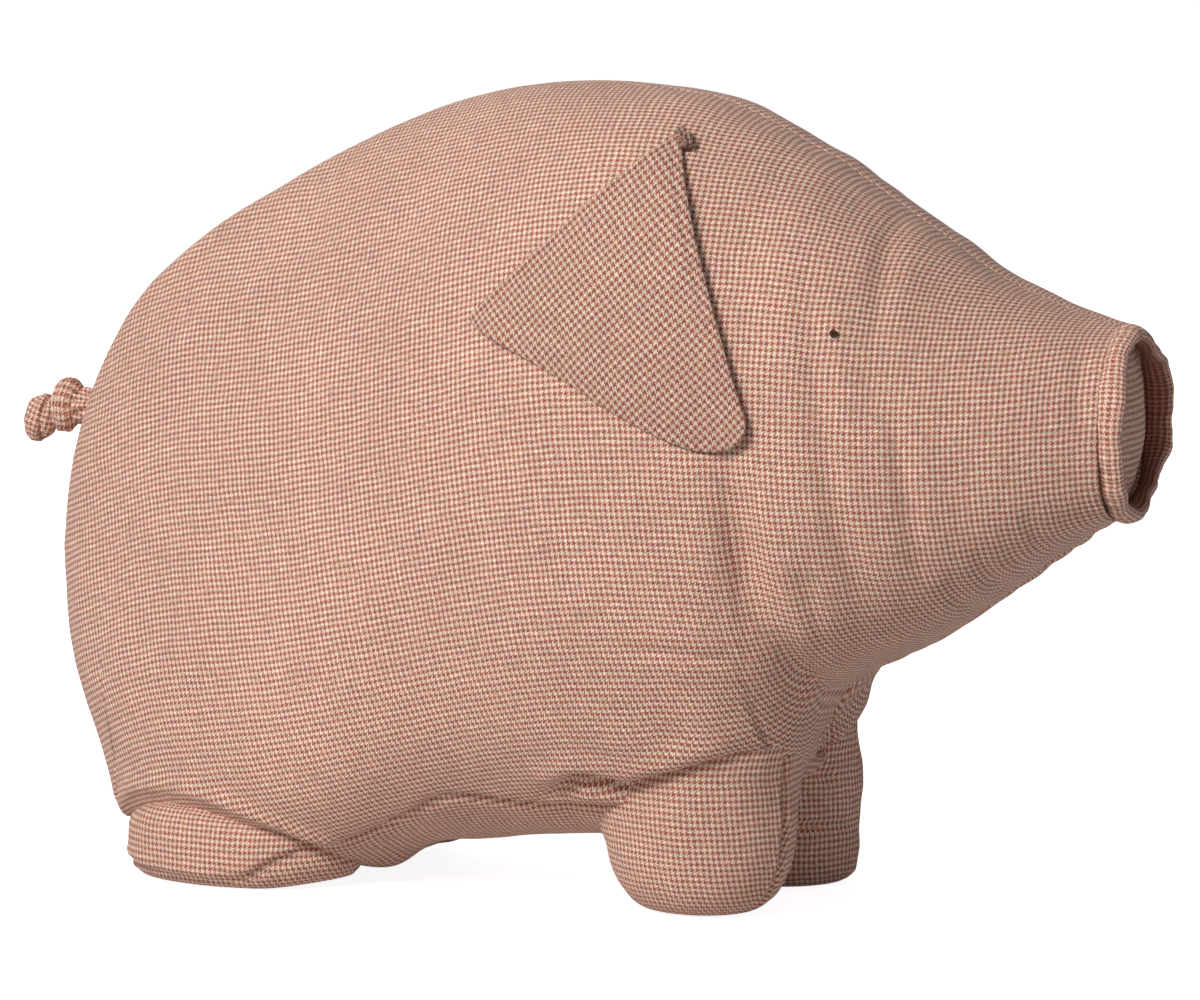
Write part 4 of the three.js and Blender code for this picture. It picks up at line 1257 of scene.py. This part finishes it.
def add_stage(right, toward):
    """A pale floor that curves up into a backdrop behind the object."""
    flat = Vector((toward.x, toward.y, 0)).normalized()
    turns = np.linspace(0.1, math.pi / 2, 12)
    curve = [
        (-STAGE_BACK - STAGE_ROUND * math.sin(turn), STAGE_ROUND - STAGE_ROUND * math.cos(turn))
        for turn in turns
    ]
    flat_part = [(STAGE_FRONT, 0.0), (0.0, 0.0), (-STAGE_BACK, 0.0)]
    profile = [*flat_part, *curve, (-STAGE_BACK - STAGE_ROUND, STAGE_TOP)]
    points, faces = [], []
    for reach, height in profile:
        for across in (-STAGE_HALF_WIDTH, STAGE_HALF_WIDTH):
            points.append(tuple(flat * reach + right * across + Vector((0, 0, height - STAGE_DROP))))
    for i in range(len(profile) - 1):
        faces.append((2 * i, 2 * i + 1, 2 * i + 3, 2 * i + 2))
    mesh = bpy.data.meshes.new("stage")
    mesh.from_pydata(points, [], faces)
    mesh.polygons.foreach_set("use_smooth", [True] * len(mesh.polygons))
    obj = bpy.data.objects.new("stage", mesh)
    obj.data.materials.append(stage_material("stage_paint", 0.9))
    bpy.context.scene.collection.objects.link(obj)


def add_world():
    world = bpy.data.worlds.new("world")
    world.use_nodes = True
    world.node_tree.nodes["Background"].inputs[0].default_value = (0.96, 0.97, 1.0, 1)
    world.node_tree.nodes["Background"].inputs[1].default_value = 0.175
    bpy.context.scene.world = world


bpy.context.scene.view_settings.view_transform = "Standard"
right, up, toward = add_camera()
add_stage(right, toward)
add_world()
add_light("key", tuple(-right * 1.1 + up * 1.25 + toward * 1.65), 0.8, 42.0, (1, 0.985, 0.96))
add_light("back", tuple(-toward * 2.2 + up * 0.8 - right * 0.4), 1.8, 19.0)
add_light("fill", tuple(right * 1.6 + up * 0.6 + toward * 1.3), 1.4, 1.2)

side_cloth = houndstooth("side_cloth")
gusset_cloth = houndstooth("gusset_cloth")
leg_cloth = houndstooth("leg_cloth")
# The ear's outer cloth and its lining are painted darker, for the shade that falls on them
ear_cloth = houndstooth("ear_cloth", 0.82)
lining_cloth = houndstooth("ear_lining_cloth", 0.78)
# The pleat's cloth is painted half as bright, for the shade inside its fold
pleat_painted_shade_cloth = houndstooth("pleat_painted_shade_cloth", 0.5)
nose_cloth = houndstooth("nose_cloth")
# The rim's inner side gets painted shade, for the shade in the hollow between the rim and the nose
rim_cloth = houndstooth("rim_cloth", 1.0, (0.0076, 0.0182))
tail_cloth = houndstooth("tail_cloth")


def plain_fibre(name, colour, size, strength):
    """A soft, fibrous finish of one colour."""
    tree = Tree(name)
    fluff = tree.noise(tree.add("TexCoord", 3), size, 4.0)
    tree.shade(
        Base_Color=tree.mix(tree.remap(fluff, 0.3, 0.7, 0.6, 1.0), tuple(0.5 * c for c in colour), colour),
        Normal=tree.add("Bump", inputs={"Strength": strength, "Distance": 0.0002, "Height": fluff}),
        Roughness=tree.remap(fluff, 0.3, 0.7, 0.75, 0.95), Specular_IOR_Level=0.25)
    return tree.material


thread = plain_fibre("eye_thread", (0.075, 0.036, 0.024), 2600.0, 0.6)
fibre = plain_fibre("stuffing_fibre", (0.86, 0.84, 0.78), 300.0, 0.5)


def finish_piece(obj, body, slot, material, replaces=()):
    """Attaches a piece to a body, hides the parts that it replaces and gives it its material. One without a
    body is left unattached.
    """
    if body is not None:
        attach(obj, body)
    if replaces:
        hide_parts(*replaces)
    obj.data.materials.append(material)
    return obj


for word, side in (("right", -1), ("left", 1)):
    panel = side_panel(f"{word}_side_cloth_panel", side)
    finish_piece(panel, "trunk", "side_cloth", side_cloth, [f"{word}_side_panel"])
    for end, leg in (("front", front_leg(side)), ("hind", HIND_LEG)):
        cover = leg_cover(f"{word}_{end}_leg_cloth", leg, side, 200 + 7 * side)
        finish_piece(cover, "trunk", "leg_cloth", leg_cloth, [f"{word}_{end}_leg_cover"])
        fill = leg_stuffing(f"{word}_{end}_leg_stuffing", leg, side)
        finish_piece(fill, "trunk", "stuffing", fibre, [f"{word}_{end}_leg_fill"])
    eye = eye_knot(f"{word}_eye_knot", side)
    finish_piece(eye, "trunk", "eye_thread", thread, [f"{word}_eye"])
    root = ear_root(f"{word}_ear_pleat", side)
    finish_piece(root, "trunk", "ear_lining_cloth", pleat_painted_shade_cloth, [f"{word}_ear_root"])
    for layer, outer, material, slot in (
        ("outer", True, ear_cloth, "ear_cloth"), ("lining", False, lining_cloth, "ear_lining_cloth"),
    ):
        ear = ear_layer(f"{word}_ear_{layer}_sheet", side, outer)
        finish_piece(ear, None, slot, material, [f"{word}_ear_{layer}"])
        start, end = ((x, side * y, z) for x, y, z in (EAR_HINGE, EAR_BEND_END))
        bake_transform(ear)
        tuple(end)
gusset = belly_gusset()
finish_piece(gusset, "trunk", "gusset_cloth", gusset_cloth, ["belly_gusset"])
finish_piece(stuffing("body_stuffing", BODY, 24, 298), "trunk", "stuffing", fibre, ["body_fill"])
finish_piece(stuffing("head_stuffing", HEAD, 262, 381), "trunk", "stuffing", fibre, ["head_fill"])
finish_piece(nose_disc("nose_cloth_disc"), "trunk", "nose_cloth", nose_cloth, ["nose_disc"])
finish_piece(snout_rim("snout_rolled_rim"), "trunk", "rim_cloth", rim_cloth, ["snout_rim"])
finish_piece(tail_stub("tail_gathered_stub"), "tail_root", "tail_cloth", tail_cloth, ["tail_stub"])
finish_piece(tail_knot("tail_tied_knot"), "tail_end", "tail_cloth", tail_cloth, ["tail_knot"])
